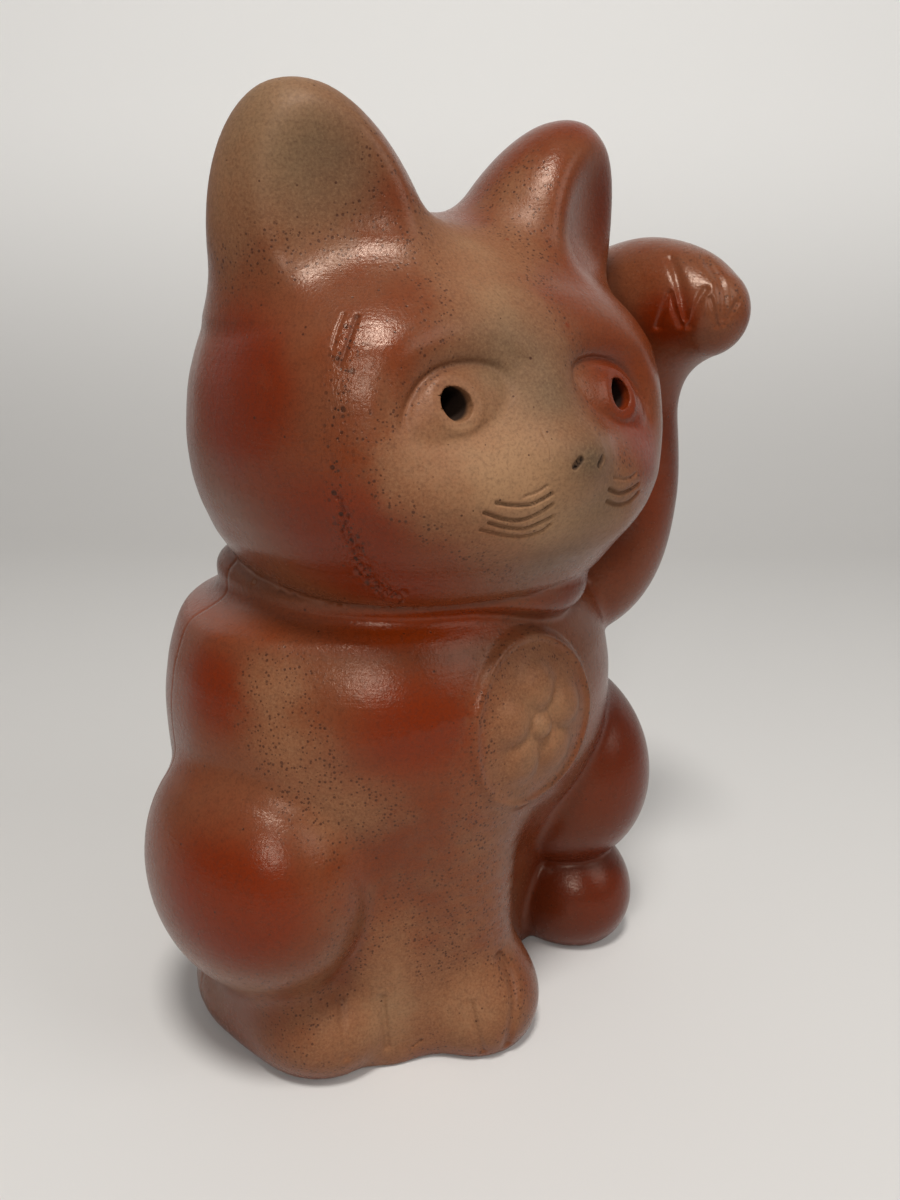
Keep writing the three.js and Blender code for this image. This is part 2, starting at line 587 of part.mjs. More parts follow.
function armForm(grow) {
  const x = CHEEK_HALF_WIDTH + ARM_RADIUS - ARM_CHEEK_OVERLAP;
  const root = vec(CHEST_HALF_WIDTH - ARM_ROOT_SINK, ARM_Y + ARM_ROOT_BACK, ARM_ROOT_AT * BODY_HEIGHT);
  const elbow = vec(lerp(root.x, x, ELBOW_OUT), ARM_Y, ELBOW_AT * BODY_HEIGHT);
  const wrist = vec(x, ARM_Y, SEAT_Z + WRIST_RISE);
  const forearm = vec(x, ARM_Y, lerp(elbow.z, wrist.z, FOREARM_AT));
  const upper = vec(x, ARM_Y, lerp(elbow.z, wrist.z, UPPER_ARM_AT));
  const reach = HAND_REACH - HAND_TIP_RADIUS;
  const hand = (share, drop) => vec(x + HAND_OUT, ARM_Y - share * reach, SEAT_Z + HAND_RISE - drop);
  const points = [root, elbow, forearm, upper, wrist, hand(KNUCKLE_AT, 0), hand(PALM_AT, 0), hand(1, HAND_DROOP)];
  const armRadii = [ARM_ROOT_RADIUS, ELBOW_RADIUS, ARM_RADIUS, ARM_UPPER_RADIUS];
  const handRadii = [ARM_WRIST_RADIUS, HAND_RADIUS, HAND_RADIUS, HAND_TIP_RADIUS];
  const arm = limb(points, [...armRadii, ...handRadii].map((radius) => radius + grow), ARM_STEPS);
  const heel = vec(x + HAND_OUT, ARM_Y - PAW_HEEL_AHEAD, SEAT_Z + PAW_HEEL_RISE);
  const heelSize = vec(PAW_HEEL_HALF_WIDTH + grow, PAW_HEEL_HALF_DEPTH + grow, PAW_HEEL_HALF_HEIGHT + grow);
  return arm.add(ellipsoid(heel, heelSize));
}

// Soft roll of slip pressed into the crevice between head and shoulders
function collarForm(grow) {
  const offset = COLLAR_RADIUS - COLLAR_BITE;
  const radius = NECK_HALF_WIDTH + offset;
  const ring = new THREE.TorusGeometry(radius, COLLAR_RADIUS + grow, COLLAR_SEGMENTS, SHELL_SEGMENTS);
  const depth = (lerp(NECK_FRONT, NECK_BACK, 0.5) + offset) / radius;
  return solidFrom(ring.scale(1, depth, 1).translate(0, BODY_AXIS_Y, BODY_HEIGHT));
}

// Room kept free around the collar, where the arm doesn't reach
function collarRoom() {
  const reach = 2 * COLLAR_RADIUS - COLLAR_BITE + JOINT_GAP;
  const size = { side: NECK_HALF_WIDTH + reach, front: NECK_FRONT + reach, back: NECK_BACK + reach };
  const foot = { z: SHOULDER_EDGE_AT * BODY_HEIGHT, ...size };
  const head = { z: SEAT_Z + 2 * COLLAR_RADIUS, ...size };
  return stack([foot, head], BODY_AXIS_Y, BODY_SQUARENESS, SHELL_SEGMENTS);
}

// Upright prism of an outline drawn on the chest, reaching through the front of the body
function chestPrism(shape) {
  const length = 2 * CHEST_FRONT;
  const prism = new THREE.ExtrudeGeometry(shape, { depth: length, bevelEnabled: false, curveSegments: 12 });
  prism.rotateX(Math.PI / 2).translate(0, BODY_AXIS_Y, MEDALLION_AT * BODY_HEIGHT);
  return solidFrom(prism);
}

function oval(inset) {
  const shape = new THREE.Shape();
  return shape.absellipse(0, 0, MEDALLION_HALF_WIDTH - inset, MEDALLION_HALF_HEIGHT - inset, 0, 2 * Math.PI);
}

function petal(x, y, radius) {
  return new THREE.Shape().absarc(x, y, radius, 0, 2 * Math.PI);
}

// Oval medallion with a raised rim and a five-petalled blossom, laid on the curve of the chest
function medallion(behind) {
  const field = chestPrism(oval(0)).intersect(grownBody(MEDALLION_RELIEF));
  const rim = chestPrism(oval(0)).subtract(chestPrism(oval(MEDALLION_RIM_WIDTH)));
  const blossom = Array.from({ length: PETAL_COUNT }, (_, i) => {
    const angle = Math.PI / 2 + (2 * Math.PI * i) / PETAL_COUNT;
    const x = PETAL_RING_RADIUS * Math.cos(angle);
    const y = PETAL_RING_RADIUS * Math.sin(angle);
    return chestPrism(petal(x, y, PETAL_RADIUS));
  });
  const raised = blossom.reduce((sum, leaf) => sum.add(leaf), rim).intersect(grownBody(MEDALLION_RIM_RELIEF));
  return cut(field.add(raised), ...behind);
}

// Short tail lying round the foot of the back
function tailForm() {
  const points = [0, 1, 2, 3].map((i) => {
    const share = i / 3;
    const z = TAIL_LIFT + TAIL_RADIUS + TAIL_CURL * share * share;
    const level = levelAt(BODY, z);
    const angle = TAIL_SWEEP * (share - TAIL_START);
    return vec(level.side * Math.sin(angle), BODY_AXIS_Y + level.back * Math.cos(angle), z);
  });
  const radii = [TAIL_RADIUS, TAIL_RADIUS, lerp(TAIL_RADIUS, TAIL_TIP_RADIUS, 0.5), TAIL_TIP_RADIUS];
  return limb(points, radii, TAIL_STEPS);
}

// Each later piece is cut to seat on the pieces already there
function buildFigure() {
  const figure = new THREE.Group();
  figure.name = 'beckoning_cat';
  const place = (name, solid, colour = CLAY_RED) => figure.add(meshFrom(name, solid, colour));

  const body = bodyShell();
  place('body_front_shell', cut(body, behindSeam));
  place('body_back_shell', cut(body, beforeSeam));
  place('base_slab', baseSlab(), CLAY_TAN);
  const head = headShell();
  place('head_front_shell', cut(head, behindSeam), CLAY_TAN);
  place('head_back_shell', cut(head, beforeSeam));

  const aroundBody = grownBody(JOINT_GAP);
  const aroundHead = headForm(-JOINT_GAP, HEAD_ROWS, SHELL_SEGMENTS);
  const seats = [aroundBody, aroundHead];
  const sides = [['right', -1], ['left', 1]];

  for (const [name, side] of sides) {
    place(`${name}_haunch`, cut(haunchForm(side, 0), aroundBody, underTable), side < 0 ? CLAY_RED : CLAY_DARK);
    seats.push(haunchForm(side, JOINT_GAP));
  }
  for (const [name, side] of sides) {
    place(`${name}_hind_foot`, cut(footForm(side, 0), ...seats, underTable), side < 0 ? CLAY_TAN : CLAY_DARK);
    seats.push(footForm(side, JOINT_GAP));
  }
  place('right_foreleg', cut(forelegForm(0), ...seats, underTable), CLAY_TAN);
  seats.push(forelegForm(JOINT_GAP));
  place('neck_collar', cut(collarForm(0), ...seats));
  seats.push(collarForm(JOINT_GAP));
  for (const [name, side] of sides) {
    place(`${name}_ear`, cut(earForm(side, 0), earScoop(side), ...seats), side < 0 ? CLAY_TAN : CLAY_RED);
    seats.push(earForm(side, JOINT_GAP));
  }
  place('raised_foreleg', cut(armForm(0), ...seats, collarRoom()), CLAY_DARK);
  seats.push(armForm(JOINT_GAP));
  place('tail', cut(tailForm(), ...seats, underTable));
  place('chest_medallion', medallion(seats), CLAY_TAN);
  return figure;
}

export default buildFigure();
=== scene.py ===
import bmesh
import bpy
import numpy as np
from mathutils import Matrix, Vector


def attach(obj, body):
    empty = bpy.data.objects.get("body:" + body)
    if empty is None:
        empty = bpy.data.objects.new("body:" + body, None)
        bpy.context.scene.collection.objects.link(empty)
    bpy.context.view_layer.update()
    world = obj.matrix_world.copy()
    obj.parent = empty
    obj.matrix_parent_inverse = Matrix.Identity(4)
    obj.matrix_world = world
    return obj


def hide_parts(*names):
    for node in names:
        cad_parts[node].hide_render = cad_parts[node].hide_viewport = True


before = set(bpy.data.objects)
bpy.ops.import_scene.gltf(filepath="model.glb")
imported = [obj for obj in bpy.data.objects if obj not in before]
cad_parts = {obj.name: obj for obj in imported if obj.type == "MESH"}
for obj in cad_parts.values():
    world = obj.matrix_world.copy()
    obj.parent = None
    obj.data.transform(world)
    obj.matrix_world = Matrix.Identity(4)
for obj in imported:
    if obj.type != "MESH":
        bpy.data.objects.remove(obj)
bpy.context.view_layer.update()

# Sizes of the figure in millimetres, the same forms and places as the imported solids
HEAD_AXIS_Y = -3.0
BODY_AXIS_Y = 2.5
SEAM_Y = 12.0
EYE_X = 20.3
EYE_SHIFT = -1.4
EYE_Y = -43.0
EYE_Z = 146.3
EYE_HOLE_HALF = (2.9, 2.95)
EAR_YAW = np.radians(38.0)

# Body levels: height, half width, front and back reach from the body axis
BODY_LEVELS = np.array([
    (-4.0, 45.5, 18.0, 44.5),
    (0.0, 46.0, 18.5, 45.0),
    (30.0, 50.0, 22.0, 52.5),
    (44.0, 51.5, 29.5, 53.0),
    (56.0, 53.0, 37.5, 53.0),
    (67.0, 54.8, 42.2, 52.2),
    (78.0, 55.4, 43.4, 50.7),
    (87.0, 54.4, 41.8, 49.2),
    (93.0, 52.6, 39.4, 48.6),
    (96.6, 51.0, 37.3, 47.6),
    (98.4, 49.4, 36.1, 46.4),
    (99.6, 46.8, 35.3, 44.2),
    (101.2, 43.2, 34.5, 41.2),
    (103.0, 40.4, 34.0, 38.6),
    (105.2, 38.4, 33.6, 36.2),
    (108.0, 37.0, 33.0, 34.0),
    (116.0, 36.0, 32.0, 33.0),
])

# Head levels: height, half width, front and back reach from the head axis, squareness of the face side
HEAD_LEVELS = np.array([
    (106.8, 36.0, 35.4, 37.2, 2.30),
    (109.0, 38.8, 37.6, 39.4, 2.32),
    (112.0, 41.3, 39.6, 41.2, 2.35),
    (114.5, 43.0, 41.4, 42.2, 2.35),
    (117.0, 44.6, 43.5, 42.9, 2.35),
    (120.0, 46.0, 45.9, 43.3, 2.35),
    (124.0, 47.7, 48.0, 43.6, 2.35),
    (130.0, 49.3, 49.4, 43.6, 2.36),
    (137.5, 50.0, 48.0, 42.9, 2.48),
    (144.0, 49.7, 45.1, 41.6, 2.70),
    (148.0, 49.2, 43.2, 40.6, 2.85),
    (152.0, 48.2, 41.6, 39.4, 2.95),
    (156.0, 46.9, 40.2, 38.0, 3.05),
    (160.0, 45.0, 37.8, 36.2, 3.05),
    (164.0, 42.2, 34.4, 33.6, 3.00),
    (168.0, 38.2, 29.6, 30.0, 2.80),
    (172.0, 33.0, 24.4, 25.8, 2.50),
    (176.0, 27.2, 18.6, 20.6, 2.30),
    (181.0, 18.8, 10.2, 12.0, 2.10),
    (185.0, 11.6, 3.4, 5.0, 2.00),
])
CROWN_CENTRE = (0.0, -2.0, 121.0)
CROWN_HALF = (66.0, 60.0, 60.0)


def smooth_min(a, b, k):
    h = np.maximum(k - np.abs(a - b), 0.0) / k
    return np.minimum(a, b) - h * h * k * 0.25


def smooth_max(a, b, k):
    return -smooth_min(-a, -b, k)


def dome(u, fullness):
    u = np.clip(u, 0.0, 1.0)
    return (1.0 - u ** fullness) ** (1.0 / fullness)


# Rough distance to an ellipsoid, which may have its own axes
def ellipsoid(p, centre, half, axes=None):
    q = p - np.asarray(centre, float)
    if axes is not None:
        q = q @ axes
    half = np.asarray(half, float)
    k0 = np.sqrt(((q / half) ** 2).sum(1))
    k1 = np.sqrt(((q / half ** 2) ** 2).sum(1))
    return k0 * (k0 - 1.0) / np.maximum(k1, 1e-9)


# Smooth run of values through measured points, without overshoot
def smooth_run(x, y, t):
    h = np.diff(x)
    d = np.diff(y) / h
    m = np.zeros(len(x))
    m[0], m[-1] = d[0], d[-1]
    same = d[:-1] * d[1:] > 0
    w1, w2 = 2 * h[1:] + h[:-1], h[1:] + 2 * h[:-1]
    safe = np.where(same, d[:-1], 1.0), np.where(same, d[1:], 1.0)
    m[1:-1] = np.where(same, (w1 + w2) / (w1 / safe[0] + w2 / safe[1]), 0.0)
    i = np.clip(np.searchsorted(x, t, side="right") - 1, 0, len(x) - 2)
    s = (t - x[i]) / h[i]
    start = y[i] * (1 + 2 * s) * (1 - s) ** 2 + h[i] * m[i] * s * (1 - s) ** 2
    return start + y[i + 1] * s * s * (3 - 2 * s) + h[i] * m[i + 1] * s * s * (s - 1)


# Points and radii of a smooth limb through a few measured ones
def smooth_limb(points, radii, steps):
    rows = np.c_[np.asarray(points, float), np.asarray(radii, float)]
    rows = np.vstack([2 * rows[0] - rows[1], rows, 2 * rows[-1] - rows[-2]])
    out = []
    for i in range(len(rows) - 3):
        a, b, c, d = rows[i:i + 4]
        for u in np.linspace(0.0, 1.0, steps, endpoint=False):
            cubic = (3 * b - a - 3 * c + d) * u ** 3
            out.append(0.5 * (2 * b + (c - a) * u + (2 * a - 5 * b + 4 * c - d) * u * u + cubic))
    out.append(rows[-2])
    return np.array(out)


FAR = 14.0


# Works out a form near its own box only; further off the distance to the box will do
def near_box(p, low, high, form):
    gap = np.maximum(np.maximum(low - p, p - high), 0.0)
    away = np.sqrt((gap ** 2).sum(1))
    close = away < FAR
    d = away + 0.5
    if close.any():
        d[close] = form(p[close])
    return d


def limb(p, path):
    reach = path[:, 3].max()
    low, high = path[:, :3].min(0) - reach, path[:, :3].max(0) + reach
    return near_box(p, low, high, lambda q: limb_near(q, path))


def limb_near(p, path):
    best = np.full(len(p), 1e9)
    for a, b in zip(path[:-1], path[1:]):
        run = b[:3] - a[:3]
        share = np.clip((p - a[:3]) @ run / (run @ run), 0.0, 1.0)
        near = a[:3] + share[:, None] * run
        gap = np.sqrt(((p - near) ** 2).sum(1)) - (a[3] + share * (b[3] - a[3]))
        best = np.minimum(best, gap)
    return best


STEEPEST = 4.0
BACK_SQUARENESS = 2.1
FRONT_BLEND = 16.0
LEVEL_STEP = 0.2


# Distance to a stack of ovals along Z; the rows are height, side, front and back reach, squareness
class Loft:
    def __init__(self, table, axis_y):
        self.z, self.side, self.front, self.back, self.square = table.T
        self.axis_y = axis_y

    def read(self, z, values):
        step = self.z[1] - self.z[0]
        here = np.interp(z, self.z, values)
        slope = (np.interp(z + step, self.z, values) - np.interp(z - step, self.z, values)) / (2 * step)
        return np.maximum(here, 0.05), slope

    def __call__(self, p):
        z = np.clip(p[:, 2], self.z[0], self.z[-1])
        side, side_slope = self.read(z, self.side)
        front, front_slope = self.read(z, self.front)
        back, back_slope = self.read(z, self.back)
        x, y = p[:, 0], p[:, 1] - self.axis_y
        forward = np.clip(0.5 - y / FRONT_BLEND, 0.0, 1.0)
        n = BACK_SQUARENESS + forward * (np.interp(z, self.z, self.square) - BACK_SQUARENESS)
        deep = np.where(y < 0, front, back)
        deep_slope = np.where(y < 0, front_slope, back_slope)
        u = (np.abs(x) / side) ** n
        v = (np.abs(y) / deep) ** n
        total = np.maximum(u + v, 1e-9)
        r = np.hypot(x, y)
        reach = r / total ** (1.0 / n)
        slope = reach * (u * side_slope / side + v * deep_slope / deep) / total
        slope = np.clip(slope, -STEEPEST, STEEPEST)
        over = np.maximum(p[:, 2] - self.z[-1], 0.0)
        d = (r - reach + STEEPEST * over) / np.sqrt(1.0 + slope * slope)
        return smooth_max(d, self.z[0] - p[:, 2], 1.0)


def loft(levels, axis_y):
    z = np.arange(levels[0, 0], levels[-1, 0] + 0.001, LEVEL_STEP)
    columns = [smooth_run(levels[:, 0], levels[:, i], z) for i in range(1, levels.shape[1])]
    return Loft(np.c_[z, np.c_[tuple(columns)]], axis_y)


# The chest is a little less square than the belly
BODY_SQUARENESS = np.interp(BODY_LEVELS[:, 0], (60.0, 80.0), (2.0, 1.84))
BODY = loft(np.c_[BODY_LEVELS, BODY_SQUARENESS], BODY_AXIS_Y)
HEAD = loft(HEAD_LEVELS, HEAD_AXIS_Y)


# Pointed ear with a round tip and a shallow hollow that faces forward and out
EAR_ROOT = np.array([23.3, -6.2, 162.0])
EAR_TIP = np.array([33.5, -11.0, 201.0])
EAR_HALF_WIDTH = 22.6
EAR_FRONT = 19.2
EAR_BACK = 21.6
EAR_FULLNESS = 2.0
EAR_SCOOP_AT = 0.42
EAR_SCOOP_DEPTH = 6.5
EAR_SCOOP_HALF = (34.0, 30.0, 36.0)
EAR_SCOOP_INWARD = 12.0
EAR_SCOOP_EDGE = 3.0
EAR_FILLET = 7.0
EAR_FOOT_SHARE = -0.45
EAR_FOOT_TAPER = 2.6
EAR_FOOT_DEPTH = 16.0
EAR_SLOPE = 0.82
EAR_TIP_EDGE = 2.0
EAR_LEAN_BACK = 8.0
EAR_LEAN_UP = 0.42


def ear(p, side):
    q = p * np.array([side, 1.0, 1.0])
    share = (q[:, 2] - EAR_ROOT[2]) / (EAR_TIP[2] - EAR_ROOT[2])
    share = np.clip(share, EAR_FOOT_SHARE, 1.0)
    middle = EAR_ROOT + share[:, None] * (EAR_TIP - EAR_ROOT)
    taper = 1.0 - EAR_FOOT_TAPER * np.minimum(share, 0.0) ** 2
    swell = np.maximum(dome(share, EAR_FULLNESS) * taper, 0.02)
    x, y = q[:, 0] - middle[:, 0], q[:, 1] - middle[:, 1]
    out = x * np.sin(EAR_YAW) - y * np.cos(EAR_YAW)
    wide = x * np.cos(EAR_YAW) + y * np.sin(EAR_YAW)
    thick = np.where(out > 0, EAR_FRONT, EAR_BACK)
    rho = np.sqrt((wide / EAR_HALF_WIDTH) ** 2 + (out / thick) ** 2)
    r = np.hypot(x, y)
    reach = r / np.maximum(rho, 1e-6)
    d = EAR_SLOPE * (r - reach * swell)
    d = smooth_max(d, q[:, 2] - EAR_TIP[2], EAR_TIP_EDGE)
    d = np.maximum(d, EAR_ROOT[2] - EAR_FOOT_DEPTH - q[:, 2])
    up = EAR_TIP - EAR_ROOT + np.array([0.0, EAR_LEAN_BACK, 0.0])
    up = up / np.linalg.norm(up)
    facing = np.array([np.sin(EAR_YAW), -np.cos(EAR_YAW), 0.0])
    lean = np.array([0.0, 0.0, 1.0]) * EAR_LEAN_UP + facing
    lean = lean - (lean @ up) * up
    lean = lean / np.linalg.norm(lean)
    across = np.cross(up, lean)
    inward = across * np.sign(across[0])
    surface = EAR_FRONT * dome(EAR_SCOOP_AT, EAR_FULLNESS)
    centre = EAR_ROOT + EAR_SCOOP_AT * (EAR_TIP - EAR_ROOT) + facing * surface
    centre = centre + lean * (EAR_SCOOP_HALF[1] - EAR_SCOOP_DEPTH) - EAR_SCOOP_INWARD * inward
    scoop = ellipsoid(q, centre, EAR_SCOOP_HALF, np.stack([across, lean, up], 1))
    return smooth_max(d, -scoop, EAR_SCOOP_EDGE)


# Depth of the face's hollows: eye sockets with their almond mounds, and the bridge of the nose
EYE_YAW = np.radians(22.0)
EYE_TILT = np.radians(14.0)
SOCKET_DEPTH = 3.6
MOUND_RISE = 2.3
MOUND_HALF = (10.2, 5.9)
MOUND_SHIFT = 0.6
MOUND_DROOP = 0.02
SOCKET_MIDDLE = (-0.8, 1.2)
SOCKET_HALF = 13.0
SOCKET_UP = 8.6
SOCKET_DOWN = 10.5
LID_DEPTH = 0.32
BRIDGE_Z = 146.5
BRIDGE_HEIGHT = 0.6
NOSE_CENTRE = (0.0, -46.6, 135.0)
NOSE_HALF = (9.5, 8.2, 7.2)
NOSE_FILLET = 4.5
EYE_HOLE_END_Y = -24.0
EYE_HOLE_EDGE = 0.45


def eye_offset(p, side):
    return p[:, 0] * side - EYE_X - side * EYE_SHIFT


# Place on an eye's mound, along and across its length
def eye_place(p, side):
    across = eye_offset(p, side) * np.cos(EYE_YAW) + (p[:, 1] - EYE_Y) * np.sin(EYE_YAW)
    up = p[:, 2] - EYE_Z
    u = across * np.cos(EYE_TILT) - up * np.sin(EYE_TILT)
    v = across * np.sin(EYE_TILT) + up * np.cos(EYE_TILT)
    return u + MOUND_SHIFT, v + MOUND_DROOP * np.maximum(u, 0.0) ** 2


# Distance from the middle of an eye, as a multiple of the size of its hole
def hole_gap(p, side):
    across = eye_offset(p, side) / EYE_HOLE_HALF[0]
    return np.hypot(across, (p[:, 2] - EYE_Z) / EYE_HOLE_HALF[1])


def eye_gap(p):
    return np.where(p[:, 1] < 0, np.minimum(hole_gap(p, -1), hole_gap(p, 1)), 99.0)


def face_depth(p):
    depth = np.zeros(len(p))
    for side in (-1, 1):
        u, v = eye_place(p, side)
        high = np.where(v > SOCKET_MIDDLE[1], SOCKET_UP, SOCKET_DOWN)
        socket = ((u - SOCKET_MIDDLE[0]) / SOCKET_HALF) ** 2 + ((v - SOCKET_MIDDLE[1]) / high) ** 2
        depth += SOCKET_DEPTH * np.exp(-socket ** 1.6)
        rho = np.sqrt((u / MOUND_HALF[0]) ** 2 + (v / MOUND_HALF[1]) ** 2)
        depth -= MOUND_RISE * smooth_max(1.0 - rho ** 2, np.zeros(len(p)), 0.25)
        upper = LID_DEPTH + LID_DEPTH * np.clip(v / 4.0, -1.0, 1.0)
        depth += upper * np.exp(-((rho - 1.05) / 0.14) ** 2)
        depth -= 0.3 * np.exp(-((hole_gap(p, side) - 1.55) / 0.35) ** 2)
    bridge = np.exp(-(p[:, 0] / 6.0) ** 2) * np.exp(-((p[:, 2] - BRIDGE_Z) / 7.0) ** 4)
    return (depth - BRIDGE_HEIGHT * bridge) * np.clip((-p[:, 1] - 22.0) / 8.0, 0.0, 1.0)


def carve_face(d, p):
    d = d + face_depth(p)
    d = smooth_min(d, ellipsoid(p, NOSE_CENTRE, NOSE_HALF), NOSE_FILLET)
    for side in (-1, 1):
        hole = (hole_gap(p, side) - 1.0) * min(EYE_HOLE_HALF)
        d = smooth_max(d, np.minimum(-hole, EYE_HOLE_END_Y - p[:, 1]), EYE_HOLE_EDGE)
    return d


# Haunches and limbs; each limb has a few points, its radii there and the steps between two points
HAUNCH_CENTRE = np.array([43.2, -2.7, 46.3])
HAUNCH_HALF = (22.8, 30.0, 28.6)
FORELEG = smooth_limb(
    [(-13.0, -10.9, 78.3), (-8.9, -17.8, 50.5), (-5.5, -21.4, 27.9), (-3.2, -22.5, 12.0)],
    [28.0, 20.5, 15.3, 14.0],
    6,
)
ARM = smooth_limb(
    [(38.0, 1.0, 92.5), (51.6, -5.0, 100.4), (60.0, -6.0, 117.0), (60.3, -6.0, 138.6), (60.6, -5.2, 151.0)],
    [15.5, 17.5, 15.9, 14.2, 13.6],
    14,
)
PAW = smooth_limb(
    [(60.7, -5.0, 161.5), (60.9, -13.0, 163.4), (61.0, -22.0, 163.0), (61.0, -29.5, 161.8)],
    [15.6, 15.0, 13.4, 10.3],
    9,
)
TAIL = smooth_limb(
    [(-8.0, 51.0, 11.0), (2.0, 53.5, 12.5), (12.0, 53.0, 17.0), (20.5, 49.5, 25.0)],
    [7.0, 7.0, 5.8, 4.5],
    5,
)
# Lap of clay that fills the hollow between the right haunch and the standing foreleg
LAP = smooth_limb(
    [(-30.0, -4.0, 66.0), (-24.5, -11.0, 44.0), (-20.5, -15.8, 24.0), (-20.5, -17.0, 6.0)],
    [21.0, 18.6, 16.0, 14.2],
    7,
)
STANDING_PAW = ((-2.3, -25.2, 8.2), (16.4, 18.0, 14.8))

# Hind feet by side: the toe's middle and half sizes, then the heel's
HIND_FEET = {
    -1: (((-34.0, -9.3, 9.6), (17.6, 20.3, 14.6)), ((-38.5, 7.5, 7.0), (14.2, 20.0, 13.0))),
    1: (((43.8, -9.5, 11.8), (16.8, 20.3, 17.2)), ((40.8, 9.5, 6.0), (13.0, 20.0, 12.0))),
}


def hind_foot(p, side):
    toe, heel = HIND_FEET[side]
    return smooth_min(ellipsoid(p, *toe), ellipsoid(p, *heel), HEEL_FILLET)


def foreleg(p):
    return smooth_min(limb(p, FORELEG), ellipsoid(p, *STANDING_PAW), PAW_FILLET)


COLLAR_AXIS_Y = 1.5
COLLAR_Z = 105.6
COLLAR_HALF = (37.6, 35.2)
COLLAR_TUBE = 1.2
NAPE_ANGLE = 2.55
NAPE_TUBE = 3.4
CHIN_ANGLE = -1.15
CHIN_TUBE = 5.6


# Thin roll of slip under the head; thicker at the nape and under the chin on the raised side
def collar(p):
    x, y, z = p[:, 0], p[:, 1] - COLLAR_AXIS_Y, p[:, 2]
    angle = np.arctan2(y / 36.0, x / 38.0)
    nape = np.exp(-((angle - NAPE_ANGLE) / 0.42) ** 2)
    chin = np.exp(-((angle - CHIN_ANGLE) / 0.4) ** 2)
    tube = COLLAR_TUBE + NAPE_TUBE * nape + CHIN_TUBE * chin
    reach = 1.0 + 0.04 * nape
    across, along = COLLAR_HALF[0] * reach, COLLAR_HALF[1] * reach
    ring = np.hypot(x - across * np.cos(angle), y - along * np.sin(angle))
    return np.hypot(ring, z - COLLAR_Z - 0.6 * nape) - tube


MEDALLION_X = 3.4
MEDALLION_Z = 78.6
MEDALLION_HALF = (18.6, 19.4)
MEDALLION_LAP = 1.06
CHEST_Y = -20.0
PETALS = 5
PETAL_RING = 8.6
PETAL_HALF = 4.6
PETAL_HEIGHT = 1.7
HEART_HALF = 2.6
HEART_HEIGHT = 1.5
PLATE_HEIGHT = 0.7
RIM_HEIGHT = 0.85
RIM_INSET = 1.2


# Distance from the medallion's middle, where its edge counts as 1
def medallion_oval(p):
    across = (p[:, 0] - MEDALLION_X) / MEDALLION_HALF[0]
    return np.hypot(across, (p[:, 2] - MEDALLION_Z) / MEDALLION_HALF[1])


# Height of the medallion's relief over the chest: plate, raised rim and a five-petalled blossom
def medallion_relief(p):
    x, z = p[:, 0] - MEDALLION_X, p[:, 2]
    edge = (1.0 - medallion_oval(p)) * MEDALLION_HALF[0]
    plate = PLATE_HEIGHT * np.clip(edge / 1.6 + 0.5, 0.0, 1.0)
    rim = RIM_HEIGHT * np.exp(-((edge - RIM_INSET) / 1.0) ** 2)
    blossom = np.zeros(len(x))
    for i in range(PETALS):
        angle = np.pi / 2 + 2 * np.pi * i / PETALS
        gap = np.hypot(x - PETAL_RING * np.cos(angle), z - MEDALLION_Z - PETAL_RING * np.sin(angle))
        blossom = np.maximum(blossom, PETAL_HEIGHT * np.exp(-(gap / PETAL_HALF) ** 4))
    heart = HEART_HEIGHT * np.exp(-(np.hypot(x, z - MEDALLION_Z) / HEART_HALF) ** 4)
    return plate + rim + np.maximum(blossom, heart)


# Widths of the fillets between the pieces, in millimetres
HEEL_FILLET = 6.0
PAW_FILLET = 5.0
CROWN_FILLET = 4.0
WRIST_FILLET = 14.0
LAP_FILLET = 9.0
FORELEG_FILLET = 7.0
NEAR_FOOT_FILLET = 11.0
FAR_FOOT_FILLET = 1.6
LUTED_FILLET = 3.0
COLLAR_FILLET = 4.0
CHIN_FILLET = 1.6
FLOOR_EDGE = 1.0
PART_NAMES = (
    "body", "head", "right_haunch", "left_haunch", "right_hind_foot", "left_hind_foot", "right_foreleg",
    "raised_foreleg", "neck_collar", "right_ear", "left_ear", "tail",
)


def parts(p):
    front = np.clip((-p[:, 1] - 10.0) / 10.0, 0.0, 1.0)
    body = BODY(p) - front * medallion_relief(p)
    head = smooth_max(HEAD(p), ellipsoid(p, CROWN_CENTRE, CROWN_HALF), CROWN_FILLET)
    head = carve_face(head, p)
    mirror = np.array([-1.0, 1.0, 1.0])
    return {
        "body": body,
        "head": head,
        "right_haunch": ellipsoid(p, HAUNCH_CENTRE * mirror, HAUNCH_HALF),
        "left_haunch": ellipsoid(p, HAUNCH_CENTRE, HAUNCH_HALF),
        "right_hind_foot": hind_foot(p, -1),
        "left_hind_foot": hind_foot(p, 1),
        "right_foreleg": foreleg(p),
        "raised_foreleg": smooth_min(limb(p, ARM), limb(p, PAW), WRIST_FILLET),
        "neck_collar": collar(p),
        "right_ear": ear(p, -1),
        "left_ear": ear(p, 1),
        "tail": limb(p, TAIL),
    }


